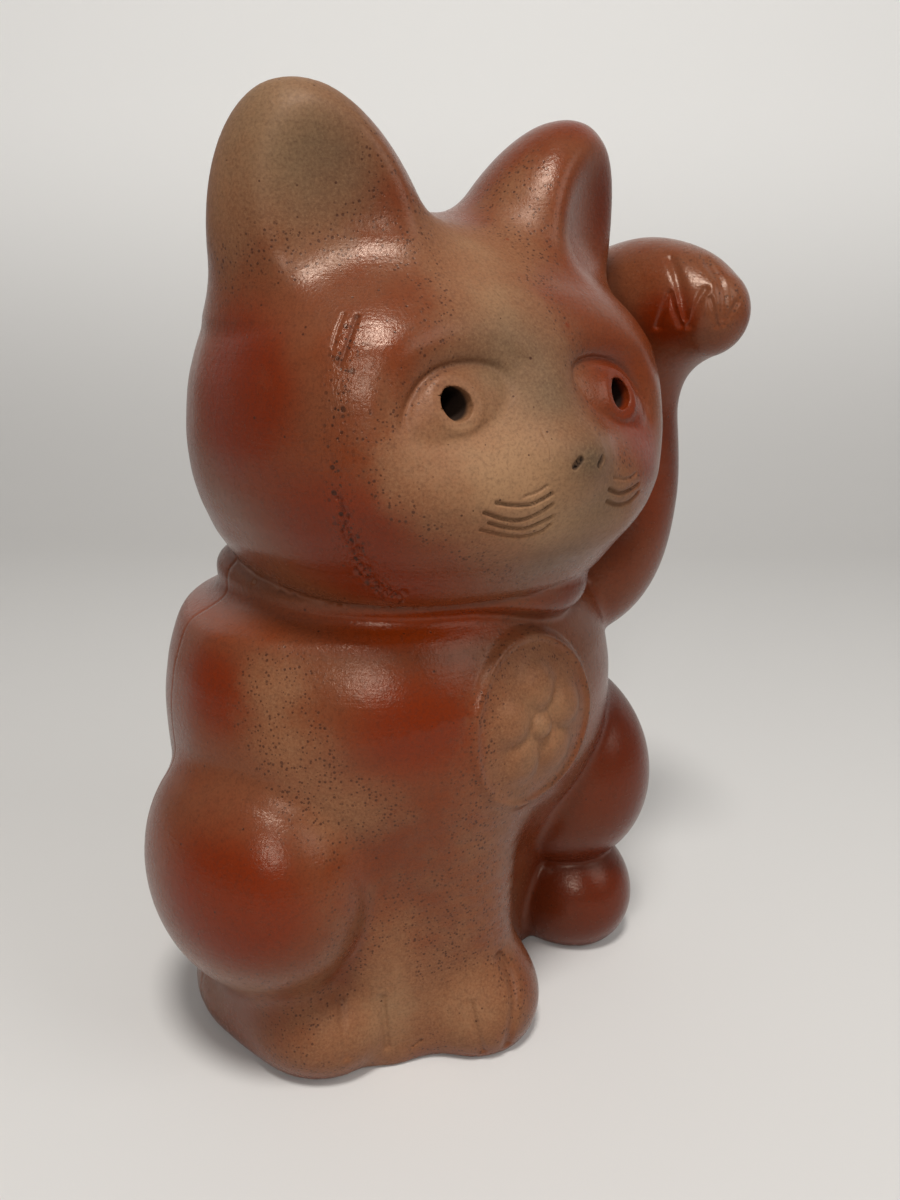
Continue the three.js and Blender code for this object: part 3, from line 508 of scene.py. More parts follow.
# The whole figure as one surface, each joint with its own fillet
def figure(p):
    d = parts(p)
    torso = smooth_min(d["body"], limb(p, LAP), LAP_FILLET)
    torso = smooth_min(torso, d["right_foreleg"], FORELEG_FILLET)
    near = smooth_min(d["right_haunch"], d["right_hind_foot"], NEAR_FOOT_FILLET)
    far = smooth_min(d["left_haunch"], d["left_hind_foot"], FAR_FOOT_FILLET)
    torso = smooth_min(torso, np.minimum(near, far), LUTED_FILLET)
    torso = smooth_min(torso, d["tail"], LUTED_FILLET)
    torso = smooth_min(torso, d["neck_collar"], COLLAR_FILLET)
    torso = smooth_min(torso, d["raised_foreleg"], LUTED_FILLET)
    fillet = EAR_FILLET * np.clip((p[:, 2] - 149.0) / 11.0, 0.02, 1.0)
    head = smooth_min(d["head"], np.minimum(d["right_ear"], d["left_ear"]), fillet)
    whole = smooth_min(torso, head, CHIN_FILLET)
    return smooth_max(whole, -p[:, 2], FLOOR_EDGE)


# Places on the surface as seen by a tool held level and turned this far from the front of the cat
QUARTER = np.radians(-38.0)


def drawn(p, turn):
    return np.stack([p[:, 0] * np.cos(turn) + p[:, 1] * np.sin(turn), p[:, 2]], 1)


def curve_2d(points, steps=5):
    flat = [(u, z, 0.0) for u, z in points]
    return smooth_limb(flat, np.zeros(len(flat)), steps)[:, :2]


# Distance to a run of points
def gap_to(q, path):
    best = np.full(len(q), 1e9)
    for a, b in zip(path[:-1], path[1:]):
        run = b - a
        share = np.clip((q - a) @ run / (run @ run), 0.0, 1.0)
        best = np.minimum(best, np.hypot(*(q - a - share[:, None] * run).T))
    return best


# Strokes of the modelling tool: half width and depth in millimetres, then points across and up
WHISKERS = [
    (0.3, 0.35, [(-12.6, 130.3), (-10.0, 130.9), (-8.2, 132.0)]),
    (0.36, 0.65, [(-18.0, 129.6), (-14.5, 128.9), (-10.9, 128.8), (-8.4, 129.7), (-7.0, 130.5)]),
    (0.36, 0.65, [(-20.0, 128.0), (-16.0, 126.5), (-12.4, 126.0), (-8.8, 127.0), (-6.4, 128.4)]),
    (0.34, 0.6, [(-18.8, 126.0), (-15.1, 124.8), (-11.2, 124.2), (-8.0, 125.0), (-5.6, 125.9)]),
    (0.34, 0.5, [(-20.0, 124.8), (-15.1, 123.3), (-10.8, 122.6), (-7.1, 123.2), (-5.4, 124.4)]),
    (0.34, 0.3, [(9.6, 131.7), (14.0, 130.8), (17.6, 131.4)]),
    (0.42, 0.6, [(8.4, 129.6), (12.3, 128.3), (15.8, 128.5), (19.0, 129.2)]),
    (0.42, 0.55, [(8.6, 127.2), (12.7, 125.9), (17.0, 126.0), (19.8, 127.4)]),
]
NOSTRILS = [
    (0.42, 1.8, [(-3.2, 135.2), (-1.9, 136.4)]),
    (0.42, 1.8, [(2.9, 135.0), (4.1, 136.0)]),
]
FACE_LINES = [
    (1.9, 0.2, [(-10.8, 156.6), (-8.4, 154.8), (-6.2, 153.2)]),
    (0.16, 0.12, [(-7.3, 141.6), (-7.4, 139.9), (-7.2, 138.6), (-7.6, 136.5)]),
]
CHEEK_SCRATCHES = [
    (0.35, 0.2, [(-9.9, 161.0), (-10.8, 158.5), (-11.5, 156.0)]),
    (0.5, 0.4, [(-7.6, 160.6), (-8.5, 157.8), (-9.3, 155.3), (-10.3, 152.8)]),
]
PAW_GROOVES = [
    (1.15, 0.6, [(57.6, 172.5), (58.8, 167.4), (60.4, 160.4)]),
    (1.15, 0.6, [(65.4, 171.9), (67.6, 167.4), (68.3, 160.5)]),
    (0.8, 0.5, [(55.0, 158.6), (55.8, 162.4), (56.8, 165.4)]),
    (0.8, 0.5, [(57.0, 165.4), (58.0, 162.1), (59.6, 159.0)]),
    (0.8, 0.5, [(61.2, 158.9), (62.5, 163.2), (64.1, 166.4)]),
    (0.7, 0.42, [(65.0, 164.6), (66.9, 159.0)]),
    (0.7, 0.42, [(68.4, 159.3), (71.2, 163.8)]),
]
TOE_GROOVES = [
    (0.9, 0.45, [(-13.6, 19.4), (-12.9, 14.0), (-12.2, 8.6)]),
    (0.8, 0.55, [(-4.9, 19.6), (-4.4, 13.0), (-3.9, 6.5)]),
    (0.35, 0.25, [(1.6, 5.0), (3.6, 6.4)]),
]
STANDING_TOES = [
    (0.9, 0.55, [(14.2, 15.0), (15.6, 9.4), (17.2, 3.4)]),
    (1.0, 0.8, [(20.6, 22.4), (23.2, 17.5), (24.0, 12.6), (22.7, 3.6)]),
]

# Each drawing: turn of its plane, strokes, the box that it stays in and how much painted shade lies in its
# cuts
DRAWINGS = [
    (0.0, WHISKERS, (-24.0, -60.0, 119.0), (24.0, -44.0, 135.0), 0.42),
    (0.0, NOSTRILS, (-6.0, -60.0, 132.0), (7.0, -48.0, 139.0), 0.6),
    (0.0, FACE_LINES, (-15.0, -60.0, 134.0), (-2.0, -36.0, 160.0), 0.0),
    (QUARTER, CHEEK_SCRATCHES, (-48.0, -42.0, 148.0), (-30.0, -24.0, 165.0), 0.45),
    (QUARTER, PAW_GROOVES, (44.0, -46.0, 155.0), (68.0, -20.0, 176.0), 0.0),
    (QUARTER, TOE_GROOVES, (-56.0, -50.0, 1.0), (-16.0, -12.0, 26.0), 0.0),
    (QUARTER, STANDING_TOES, (-20.0, -50.0, 1.0), (14.0, -31.0, 26.0), 0.0),
]
# Share of painted shade in the pits, and how far the painted shade spreads past a stroke's width
PIT_SHADE = 0.55
PIT_COUNT = 90
PIT_SEED = 11
SHADE_SPREAD = 1.2
PIT_LINE = curve_2d([(-10.5, 131.0), (-9.8, 124.8), (-7.6, 118.6), (-4.8, 112.6), (0.0, 110.2)], 12)
PIT_LOW, PIT_HIGH = np.array([-46.0, -44.0, 108.0]), np.array([-20.0, -24.0, 133.0])


# Ragged row of small pits where the two halves of the head's mould were dressed
def pit_places():
    chance = np.random.default_rng(PIT_SEED)
    at = chance.uniform(0.0, len(PIT_LINE) - 1.001, PIT_COUNT)
    row = at.astype(int)
    share = (at - row)[:, None]
    spread = 0.4 + 1.2 * at / len(PIT_LINE)
    middle = PIT_LINE[row] * (1.0 - share) + PIT_LINE[row + 1] * share
    stray = chance.normal(0.0, 1.0, (PIT_COUNT, 2)) * spread[:, None] * (0.7, 0.4)
    return np.c_[middle + stray, chance.uniform(0.2, 0.5, PIT_COUNT)]


PITS = pit_places()


def pit_depth(q):
    depth = np.zeros(len(q))
    for u, z, size in PITS:
        gap = ((q[:, 0] - u) / size) ** 2 + ((q[:, 1] - z) / (1.5 * size)) ** 2
        depth = np.maximum(depth, 0.9 * size * np.exp(-gap))
    return depth


def within(p, low, high):
    return ((p > np.array(low)) & (p < np.array(high))).all(1)


# Depth cut by the tool strokes at each place, or the painted shade that lies in them
def stroke_depth(p, as_shade=False):
    depth = np.zeros(len(p))
    for turn, strokes, low, high, deep_shade in DRAWINGS:
        near = np.flatnonzero(within(p, low, high))
        if not len(near):
            continue
        q = drawn(p[near], turn)
        cut = np.zeros(len(q))
        for half, deep, points in strokes:
            reach = half * (SHADE_SPREAD if as_shade else 1.0)
            cut = np.maximum(cut, deep * np.exp(-(gap_to(q, curve_2d(points)) / reach) ** 2))
        depth[near] = np.maximum(depth[near], cut * (deep_shade if as_shade else 1.0))
    near = np.flatnonzero(within(p, PIT_LOW, PIT_HIGH))
    if len(near):
        pits = pit_depth(drawn(p[near], QUARTER))
        depth[near] = np.maximum(depth[near], pits * (PIT_SHADE if as_shade else 1.0))
    return depth


SEAM_DEPTH = 0.13
SEAM_HALF = 0.55


# Faint line left by the mould where the front and back halves meet
def seam_depth(p):
    side = np.clip((np.abs(p[:, 0]) - 20.0) / 12.0, 0.0, 1.0)
    return SEAM_DEPTH * side * np.exp(-((p[:, 1] - SEAM_Y) / SEAM_HALF) ** 2) * (p[:, 2] > 1.0)


def detailed(p):
    return figure(p) + stroke_depth(p) + seam_depth(p)


EYE_RIM_Y = -39.0
WIDE_STROKE = 0.6
COARSER = 0.7
PLATE_COARSER = 1.7


# Distance in millimetres to the places that need a finer mesh; wider forms do with a coarser one
def fine_work(p):
    gap = np.full(len(p), 1e9)
    for side in (-1, 1):
        u, v = eye_place(p, side)
        ring = np.abs(np.hypot(u / MOUND_HALF[0], v / MOUND_HALF[1]) - 1.0) * MOUND_HALF[1]
        hole = np.abs(hole_gap(p, side) - 1.0) * EYE_HOLE_HALF[0]
        hole = hole + np.where(p[:, 1] < EYE_RIM_Y, 0.0, 1e9)
        ring = ring + np.where(p[:, 1] < -25.0, COARSER, 1e9)
        gap = np.minimum(gap, np.minimum(ring, hole))
    for turn, strokes, low, high, _ in DRAWINGS:
        near = np.flatnonzero(within(p, np.array(low) - 2.0, np.array(high) + 2.0))
        if not len(near):
            continue
        q = drawn(p[near], turn)
        for half, _, points in strokes:
            coarser = COARSER if half > WIDE_STROKE else 0.0
            away = np.maximum(gap_to(q, curve_2d(points)) - half, 0.0) + coarser
            gap[near] = np.minimum(gap[near], away)
    near = np.flatnonzero(within(p, PIT_LOW, PIT_HIGH))
    if len(near):
        away = np.maximum(gap_to(drawn(p[near], QUARTER), PIT_LINE) - 1.2, 0.0)
        gap[near] = np.minimum(gap[near], away)
    beyond = np.maximum(medallion_oval(p) - 1.05, 0.0) * MEDALLION_HALF[0]
    plate = np.where(p[:, 1] < CHEST_Y, beyond + PLATE_COARSER, 1e9)
    seam = np.abs(p[:, 1] - SEAM_Y) + COARSER
    return np.minimum(gap, np.minimum(plate, seam))


# Where the kiln left ash, smoke, iron red and a dark gloss, with painted shade among the smoke and dark
# places: middle, half sizes and strength of each
ASH_PLACES = [
    ((-37, -17, 189), (15, 13, 17), 0.9),
    ((-38, -9, 200), (13, 12, 9), 0.75),
    ((-47, -6, 184), (6, 9, 20), 0.6),
    ((-4, -26, 173), (15, 14, 10), 0.65),
    ((-9, -37, 162), (11, 11, 11), 0.75),
    ((-5, -44, 149), (13, 12, 12), 0.65),
    ((-21, -43, 146), (12, 10, 9.5), 0.4),
    ((-31, -42, 135), (9, 10, 9), 0.55),
    ((-14, -50, 134), (19, 13, 13), 0.95),
    ((-1, -51, 125), (20, 13, 11), 0.8),
    ((14, -50, 122), (11, 12, 8), 0.5),
    ((14, -18, 186), (8, 11, 13), 0.4),
    ((2, -43, 79), (19, 14, 20), 0.76),
    ((-14, -40, 58), (14, 14, 12), 0.12),
    ((-9, -38, 36), (13, 14, 16), 0.3),
    ((-11, -38, 13), (13, 13, 13), 0.7),
    ((-27, -30, 20), (7, 12, 24), 0.62),
    ((-38, -27, 11), (15, 13, 12), 0.55),
    ((-55, -18, 27), (14, 16, 10), 0.35),
    ((-42, -28, 45), (8, 8, 16), 0.35),
    ((-45, -22, 80), (9, 12, 8), 0.45),
    ((-37, -31, 67), (10, 11, 8), 0.5),
    ((-46, -17, 91), (9, 11, 7), 0.45),
    ((62, -24, 174), (14, 18, 6), 0.15),
    ((62, -38, 164), (10, 9, 12), 0.22),
]
# Olive smoke, and painted shade in the near ear's hollow, over the eyes and the bridge of the nose, under
# the nose and under the chin
SMOKE_AND_SHADE_PLACES = [
    ((1, -56, 136.2), (7, 8, 4.2), 0.9),
    ((-34, -19, 187), (14, 13, 15), 0.6),
    ((2, -49, 114), (15, 11, 6), 0.66),
    ((-8, -42, 155), (12, 10, 9), 0.6),
    ((-2, -46, 146), (7, 9, 7), 0.6),
    ((7, -50, 126), (9, 9, 8), 0.5),
    ((-42, -9, 196), (10, 10, 10), 0.3),
]
RED_PLACES = [
    ((-25, -36, 84), (17, 14, 13), 0.8),
    ((19, -42, 149), (11, 12, 13), 0.55),
    ((24, -46, 134), (9, 12, 12), 0.6),
    ((-25, -27, 181), (9, 9, 7), 0.6),
    ((-49, -14, 148), (9, 18, 20), 0.9),
    ((-39, -33, 124), (13, 14, 11), 1),
    ((-30, -34, 113), (16, 12, 6), 0.8),
    ((-58, -20, 50), (15, 20, 15), 1),
    ((-52, -4, 88), (7, 14, 12), 0.75),
    ((-59, -13, 15), (10, 14, 9), 0.5),
    ((31, -15, 199), (9, 9, 9), 0.55),
    ((50, -28, 160), (8, 8, 7), 0.9),
]
# Dark colour, with painted shade on the cat's left side away from the key lamp and under the chin
DARK_AND_SHADE_PLACES = [
    ((60, -4, 122), (22, 24, 34), 0.9),
    ((48, -14, 52), (24, 30, 30), 1),
    ((46, -12, 12), (22, 28, 20), 1),
    ((40, -20, 185), (9, 14, 16), 0.6),
    ((40, -38, 112), (18, 16, 9), 0.6),
    ((16, -32, 105), (15, 10, 6), 0.9),
]


def blob(p, middle, half):
    return np.exp(-(((p - np.array(middle)) / np.array(half)) ** 2).sum(1))


def spread(p, places):
    rest = np.ones(len(p))
    for middle, half, strength in places:
        rest *= 1.0 - strength * blob(p, middle, half)
    return 1.0 - rest


GRIT_LINE = curve_2d(
    [(-8.5, 158.0), (-10.5, 148.0), (-10.8, 138.0), (-10.2, 128.0), (-7.4, 118.0), (-2.0, 110.0)],
    8,
)
GRIT_LOW, GRIT_HIGH = (-52.0, -46.0, 108.0), (-20.0, -20.0, 164.0)
GRIT_HALF = 2.6
SHADE_FULL = 0.55
HOLLOW_REACH = 3.0


# Paint of each point: ash, iron red, dark gloss partly painted shade, and orange neck; then painted shade
# in cuts and eye holes, painted shade in hollows, smoke partly painted shade, and grit
def paint_values(points, normals):
    red = spread(points, RED_PLACES)
    ash = spread(points, ASH_PLACES) * (1.0 - 0.75 * red)
    # Dark colour, partly painted shade on the side away from the key lamp
    dark_and_shade = spread(points, DARK_AND_SHADE_PLACES)
    x, z = points[:, 0], points[:, 2]
    neck = np.clip((z - 96.5) / 3.0, 0.0, 1.0) * np.clip((106.5 - z) / 3.0, 0.0, 1.0)
    neck = neck * np.clip((8.0 - x) / 18.0, 0.0, 1.0) * np.clip((x + 44.0) / 18.0, 0.3, 1.0)
    # Painted shade: near black in the tool cuts and pits, and deep inside the eye holes
    deep_shade = np.clip(stroke_depth(points, True) / SHADE_FULL, 0.0, 1.0)
    sunk = np.clip((-HEAD(points) - face_depth(points) - 0.7) / 2.0, 0.0, 1.0)
    deep_shade = np.maximum(deep_shade, np.where(eye_gap(points) < 1.25, sunk, 0.0))
    # Painted shade in hollows: darker where other clay lies close over the surface, less so on the neck
    open_air = detailed(points + HOLLOW_REACH * normals) / HOLLOW_REACH
    hollow_shade = np.clip(1.0 - open_air, 0.0, 1.0) * (1.0 - 0.8 * neck)
    # Smoke, partly painted shade in the ear hollow, over the eyes, under the nose and under the chin
    smoke_and_shade = spread(points, SMOKE_AND_SHADE_PLACES)
    grit = np.zeros(len(points))
    near = np.flatnonzero(within(points, GRIT_LOW, GRIT_HIGH))
    if len(near):
        grit[near] = np.exp(-(gap_to(drawn(points[near], QUARTER), GRIT_LINE) / GRIT_HALF) ** 2)
    return np.stack([ash, red, dark_and_shade, neck], 1), np.stack([deep_shade, hollow_shade, smoke_and_shade, grit], 1)


# Field values on a grid; only blocks near the surface are worked out in full
def sample_grid(field, low, high, step, block=6):
    counts = np.ceil((high - low) / (step * block)).astype(int)
    middles = np.stack(np.meshgrid(*[np.arange(n) for n in counts], indexing="ij"), -1).reshape(-1, 3)
    coarse = field(low + (middles + 0.5) * step * block)
    active = middles[np.abs(coarse) < step * block * 1.15 + 1.5]
    size = counts * block + 1
    values = np.empty(size)
    signs = np.where(coarse < 0, -1e3, 1e3).reshape(counts)
    inner = np.repeat(np.repeat(np.repeat(signs, block, 0), block, 1), block, 2)
    values[:-1, :-1, :-1] = inner
    values[-1], values[:, -1], values[:, :, -1] = 1e3, 1e3, 1e3
    wanted = np.zeros(size, bool)
    for i, j, k in active * block:
        wanted[i:i + block + 1, j:j + block + 1, k:k + block + 1] = True
    index = np.argwhere(wanted)
    found = [field(low + part * step) for part in np.array_split(index, max(1, len(index) // 200000))]
    values[wanted] = np.concatenate(found)
    return values


# One point in each cell that the surface crosses, and a quad across each grid edge that it crosses
def surface_net(values, low, step):
    inside = values < 0
    corners = np.stack(np.meshgrid((0, 1), (0, 1), (0, 1), indexing="ij"), -1).reshape(-1, 3)
    nx, ny, nz = np.array(values.shape) - 1
    total = sum(inside[a:a + nx, b:b + ny, c:c + nz].astype(np.int8) for a, b, c in corners)
    cells = (total > 0) & (total < 8)
    number = np.full(cells.shape, -1)
    number[cells] = np.arange(cells.sum())
    at = np.argwhere(cells)
    summed, count = np.zeros((len(at), 3)), np.zeros(len(at))
    for a in corners:
        for axis in range(3):
            if a[axis]:
                continue
            b = a + np.eye(3, dtype=int)[axis]
            va, vb = values[tuple((at + a).T)], values[tuple((at + b).T)]
            crossed = (va < 0) != (vb < 0)
            share = np.where(crossed, va / np.where(crossed, va - vb, 1.0), 0.0)
            summed += np.where(crossed[:, None], a + share[:, None] * (b - a), 0.0)
            count += crossed
    points = low + step * (at + summed / count[:, None])
    quads = []
    for axis in range(3):
        u, v = (axis + 1) % 3, (axis + 2) % 3
        lower = np.moveaxis(inside, (axis, u, v), (0, 1, 2))
        cell = np.moveaxis(number, (axis, u, v), (0, 1, 2))
        change = lower[:-1, 1:-1, 1:-1] != lower[1:, 1:-1, 1:-1]
        i, j, k = np.nonzero(change)
        ring = np.stack([cell[i, j, k], cell[i, j + 1, k], cell[i, j + 1, k + 1], cell[i, j, k + 1]], 1)
        outward = lower[:-1, 1:-1, 1:-1][change]
        quads.append(np.where(outward[:, None], ring, ring[:, ::-1]))
    return points, np.concatenate(quads)


CORNERS = np.array([(1, 1, 1), (1, -1, -1), (-1, 1, -1), (-1, -1, 1)], float)


def slope_of(field, points, reach=0.06):
    found = sum(corner * field(points + corner * reach)[:, None] for corner in CORNERS)
    return found / (4.0 * reach)


# Moves points onto the surface
def settle(field, points, rounds, longest):
    for _ in range(rounds):
        value, slope = field(points), slope_of(field, points)
        move = value[:, None] * slope / np.maximum((slope ** 2).sum(1), 0.05)[:, None]
        length = np.sqrt((move ** 2).sum(1))
        points = points - move * np.minimum(1.0, longest / np.maximum(length, 1e-9))[:, None]
    return points


# Evens the spacing of the points along the surface
def even_out(field, points, quads, rounds, step):
    a = np.concatenate([quads[:, i] for i in range(4)])
    b = np.concatenate([quads[:, (i + 1) % 4] for i in range(4)])
    count = np.maximum(np.bincount(a, minlength=len(points)), 1)[:, None]
    for _ in range(rounds):
        mean = np.stack([np.bincount(a, points[b, i], len(points)) for i in range(3)], 1) / count
        points = settle(field, points + 0.5 * (mean - points), 1, 0.5 * step)
    return points


# Mesh spacing, and how near to fine work the faces are split in each round, in millimetres
STEP = 1.25
SPLIT_ROUNDS = [2.2, 1.3, 0.35]
GRID_LOW = np.array([-74.0, -62.0, -3.0])
GRID_HIGH = np.array([82.0, 66.0, 204.0])
MILLIMETRE = 0.001
SHOULDER_Z = 99.4


def plain_mesh(name, points, faces):
    mesh = bpy.data.meshes.new(name)
    mesh.from_pydata(points.tolist(), [], faces)
    mesh.update()
    return mesh


# Splits the faces where fine work needs more points, and cuts along the seam of the two halves
def refine(points, quads):
    mesh = plain_mesh("blank", points, quads.tolist())
    work = bmesh.new()
    work.from_mesh(mesh)
    bpy.data.meshes.remove(mesh)
    for reach in SPLIT_ROUNDS:
        now = np.array([v.co for v in work.verts])
        fine = fine_work(now) < reach
        work.verts.index_update()
        edges = [e for e in work.edges if fine[e.verts[0].index] or fine[e.verts[1].index]]
        bmesh.ops.subdivide_edges(work, edges=edges, cuts=1, use_grid_fill=True)
    everything = work.verts[:] + work.edges[:] + work.faces[:]
    bmesh.ops.bisect_plane(work, geom=everything, dist=1e-4, plane_co=(0, SEAM_Y, 0), plane_no=(0, 1, 0))
    work.verts.index_update()
    found = np.array([v.co for v in work.verts])
    faces = [[v.index for v in f.verts] for f in work.faces]
    work.free()
    return found, faces


# The node that each face belongs to
def label_faces(middles):
    found = parts(middles)
    near = np.stack([found[name] for name in PART_NAMES], 1).argmin(1)
    names = np.array(PART_NAMES, dtype=object)[near]
    names[(names == "body") & (middles[:, 2] > SHOULDER_Z)] = "neck_collar"
    behind = middles[:, 1] > SEAM_Y
    for whole in ("body", "head"):
        own = names == whole
        names[own & behind] = whole + "_back_shell"
        names[own & ~behind] = whole + "_front_shell"
    plate = (medallion_oval(middles) < MEDALLION_LAP) & (middles[:, 1] < CHEST_Y)
    names[(names == "body_front_shell") & plate] = "chest_medallion"
    return names


# Thickness that closes each skin on its inner side
THICKNESS = {
    "body_front_shell": 6.0, "body_back_shell": 6.0, "head_front_shell": 6.0, "head_back_shell": 6.0,
    "right_ear": 1.5, "left_ear": 1.5, "neck_collar": 1.5, "chest_medallion": 1.5, "tail": 2.5,
}
LIMB_THICKNESS = 4.0
INNER_FLOOR = 0.5

# Where no skin is needed: over the base slab and deep in the eye holes
SLAB_HALF = 39.0
SLAB_FRONT = 11.6
SLAB_BACK = 38.0
UNDERSIDE_Z = 0.15
EYE_LINING = 1.4
EYE_LINING_END_Y = -35.0


# One closed skin: the outer faces, their copies inside and a rim along the open edges
def closed_piece(name, points, normals, faces, depth, paint):
    used = np.unique(np.concatenate([np.array(f) for f in faces]))
    renumber = np.full(len(points), -1)
    renumber[used] = np.arange(len(used))
    outer = [renumber[np.array(f)].tolist() for f in faces]
    n = len(used)
    skin, facing = points[used], normals[used]
    inside = skin - facing * depth[used][:, None]
    inside[:, 2] = np.maximum(inside[:, 2], INNER_FLOOR)
    inner = [[i + n for i in reversed(f)] for f in outer]
    edges = {pair for f in outer for pair in zip(f, f[1:] + f[:1])}
    rims = [[b, a, a + n, b + n] for a, b in sorted(edges) if (b, a) not in edges]
    mesh = plain_mesh(name, np.vstack([skin, inside]) * MILLIMETRE, outer + inner + rims)
    mesh.polygons.foreach_set("use_smooth", np.ones(len(mesh.polygons), bool))
    vertex = np.zeros(len(mesh.loops), int)
    mesh.loops.foreach_get("vertex_index", vertex)
    both = np.vstack([facing, -facing])[vertex]
    start = 2 * sum(len(f) for f in outer)
    flat = np.array([mesh.polygons[i].normal for i in range(len(outer) * 2, len(mesh.polygons))])
    if len(flat):
        both[start:] = np.repeat(flat, 4, axis=0)
    mesh.normals_split_custom_set(both.tolist())
    for title, values in paint.items():
        layer = mesh.attributes.new(title, "FLOAT_COLOR", "POINT")
        layer.data.foreach_set("color", np.vstack([values[used], values[used]]).astype(np.float32).ravel())
    piece = bpy.data.objects.new(name, mesh)
    bpy.context.collection.objects.link(piece)
    return piece


def build_skins():
    values = sample_grid(figure, GRID_LOW, GRID_HIGH, STEP)
    points, quads = surface_net(values, GRID_LOW, STEP)
    points = settle(figure, points, 2, 0.5 * STEP)
    points = even_out(figure, points, quads, 3, STEP)
    points, faces = refine(points, quads)
    points = settle(detailed, points, 3, 0.4 * STEP)
    slope = slope_of(detailed, points)
    normals = slope / np.maximum(np.sqrt((slope ** 2).sum(1)), 1e-9)[:, None]
    middles = np.array([points[f].mean(0) for f in faces])
    names = label_faces(middles)
    slab_reach = np.where(middles[:, 1] < BODY_AXIS_Y, SLAB_FRONT, SLAB_BACK)
    slab = np.hypot(middles[:, 0] / SLAB_HALF, (middles[:, 1] - BODY_AXIS_Y) / slab_reach)
    names[(middles[:, 2] < UNDERSIDE_Z) & (slab < 1.0)] = "none"
    names[(eye_gap(middles) < EYE_LINING) & (middles[:, 1] > EYE_LINING_END_Y)] = "none"
    thin = np.clip((eye_gap(points) - EYE_LINING) / 3.0, 0.05, 1.0)
    # Kiln colours, then the tool marks with the painted shade of cuts, eye holes and hollows, the smoke
    # with its painted shade, and the grit
    kiln, tooling_and_shade = paint_values(points, normals)
    paint = {"kiln": kiln, "tooling_and_shade": tooling_and_shade}
    pieces = {}
    for node in sorted(set(names) - {"none"}):
        own = [faces[i] for i in np.flatnonzero(names == node)]
        depth = thin * THICKNESS.get(node, LIMB_THICKNESS)
        piece = closed_piece("clay_" + node, points, normals, own, depth, paint)
        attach(piece, "root")
        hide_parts(node)
        pieces[node] = piece
    return pieces


pieces = build_skins()


# Linear colour from the values seen on a screen
def screen(r, g, b):
    c = np.array([r, g, b]) / 255.0
    linear = np.where(c < 0.04045, c / 12.92, ((c + 0.055) / 1.055) ** 2.4)
    return (*linear.tolist(), 1.0)


# Small helper that lays out one material's nodes
class Recipe:
    def __init__(self, name):
        self.material = bpy.data.materials.new(name)
        self.material.use_nodes = True
        self.tree = self.material.node_tree
        self.shader = self.tree.nodes["Principled BSDF"]
        self.place = self.tree.nodes.new("ShaderNodeTexCoord").outputs["Object"]

    def join(self, socket, value):
        if isinstance(value, bpy.types.NodeSocket):
            self.tree.links.new(value, socket)
        else:
            socket.default_value = value

    def masks(self, name):
        source = self.tree.nodes.new("ShaderNodeAttribute")
        source.attribute_name = name
        split = self.tree.nodes.new("ShaderNodeSeparateColor")
        self.join(split.inputs["Color"], source.outputs["Color"])
        return [*split.outputs, source.outputs["Alpha"]]

    def stretched(self, x, y, z):
        node = self.tree.nodes.new("ShaderNodeMapping")
        self.join(node.inputs["Vector"], self.place)
        node.inputs["Scale"].default_value = (x, y, z)
        return node.outputs["Vector"]

    def noise(self, scale, detail, roughness, place=None):
        node = self.tree.nodes.new("ShaderNodeTexNoise")
        self.join(node.inputs["Vector"], place or self.place)
        node.inputs["Scale"].default_value = scale
        node.inputs["Detail"].default_value = detail
        node.inputs["Roughness"].default_value = roughness
        return node.outputs["Fac"]

    def sum(self, operation, a, b):
        node = self.tree.nodes.new("ShaderNodeMath")
        node.operation = operation
        self.join(node.inputs[0], a)
        self.join(node.inputs[1], b)
        return node.outputs["Value"]

    # Adds a share of a noise, counted from its middle value
    def shaken(self, value, noise, amount):
        return self.sum("ADD", value, self.sum("MULTIPLY", self.sum("SUBTRACT", noise, 0.5), amount))

    def step(self, value, low, high, start=0.0, end=1.0):
        node = self.tree.nodes.new("ShaderNodeMapRange")
        node.interpolation_type = "SMOOTHSTEP"
        self.join(node.inputs["Value"], value)
        node.inputs["From Min"].default_value = low
        node.inputs["From Max"].default_value = high
        node.inputs["To Min"].default_value = start
        node.inputs["To Max"].default_value = end
        return node.outputs["Result"]

    def mix(self, share, a, b):
        node = self.tree.nodes.new("ShaderNodeMix")
        node.data_type = "RGBA"
        self.join(node.inputs[0], share)
        self.join(node.inputs[6], a)
        self.join(node.inputs[7], b)
        return node.outputs[2]

    # Round dots: one chance in each cell of the given scale
    def dots(self, scale, radius, rarity):
        node = self.tree.nodes.new("ShaderNodeTexVoronoi")
        self.join(node.inputs["Vector"], self.place)
        node.inputs["Scale"].default_value = scale
        split = self.tree.nodes.new("ShaderNodeSeparateColor")
        self.join(split.inputs["Color"], node.outputs["Color"])
        chosen = self.sum("GREATER_THAN", split.outputs["Red"], rarity)
        size = self.sum("MULTIPLY", split.outputs["Green"], radius)
        away = self.sum("DIVIDE", node.outputs["Distance"], self.sum("ADD", size, 0.02))
        return self.sum("MULTIPLY", self.step(away, 1.0, 0.55), chosen)

    def bump(self, height, strength, distance, under=None):
        node = self.tree.nodes.new("ShaderNodeBump")
        node.inputs["Strength"].default_value = strength
        node.inputs["Distance"].default_value = distance
        self.join(node.inputs["Height"], height)
        if under is not None:
            self.join(node.inputs["Normal"], under)
        return node.outputs["Normal"]


# Colours of the fired clay; some also paint shade: the dark red away from the key lamp, the olive among the
# smoke, the speckle brown in hollows and the near black in cuts, pits and eye holes, where it also makes
# the dark dots of the grit band
RED = screen(112, 35, 4)
RUST = screen(114, 51, 23)
BROWN = screen(114, 64, 40)
ORANGE = screen(134, 48, 8)
DARK = screen(96, 34, 13)
CLAY = screen(131, 85, 56)
TAN = screen(154, 117, 84)
OLIVE = screen(88, 72, 53)
SPECKLE_AND_SHADE = screen(62, 30, 18)
BLACK_DOTS_AND_SHADE = screen(16, 10, 8)


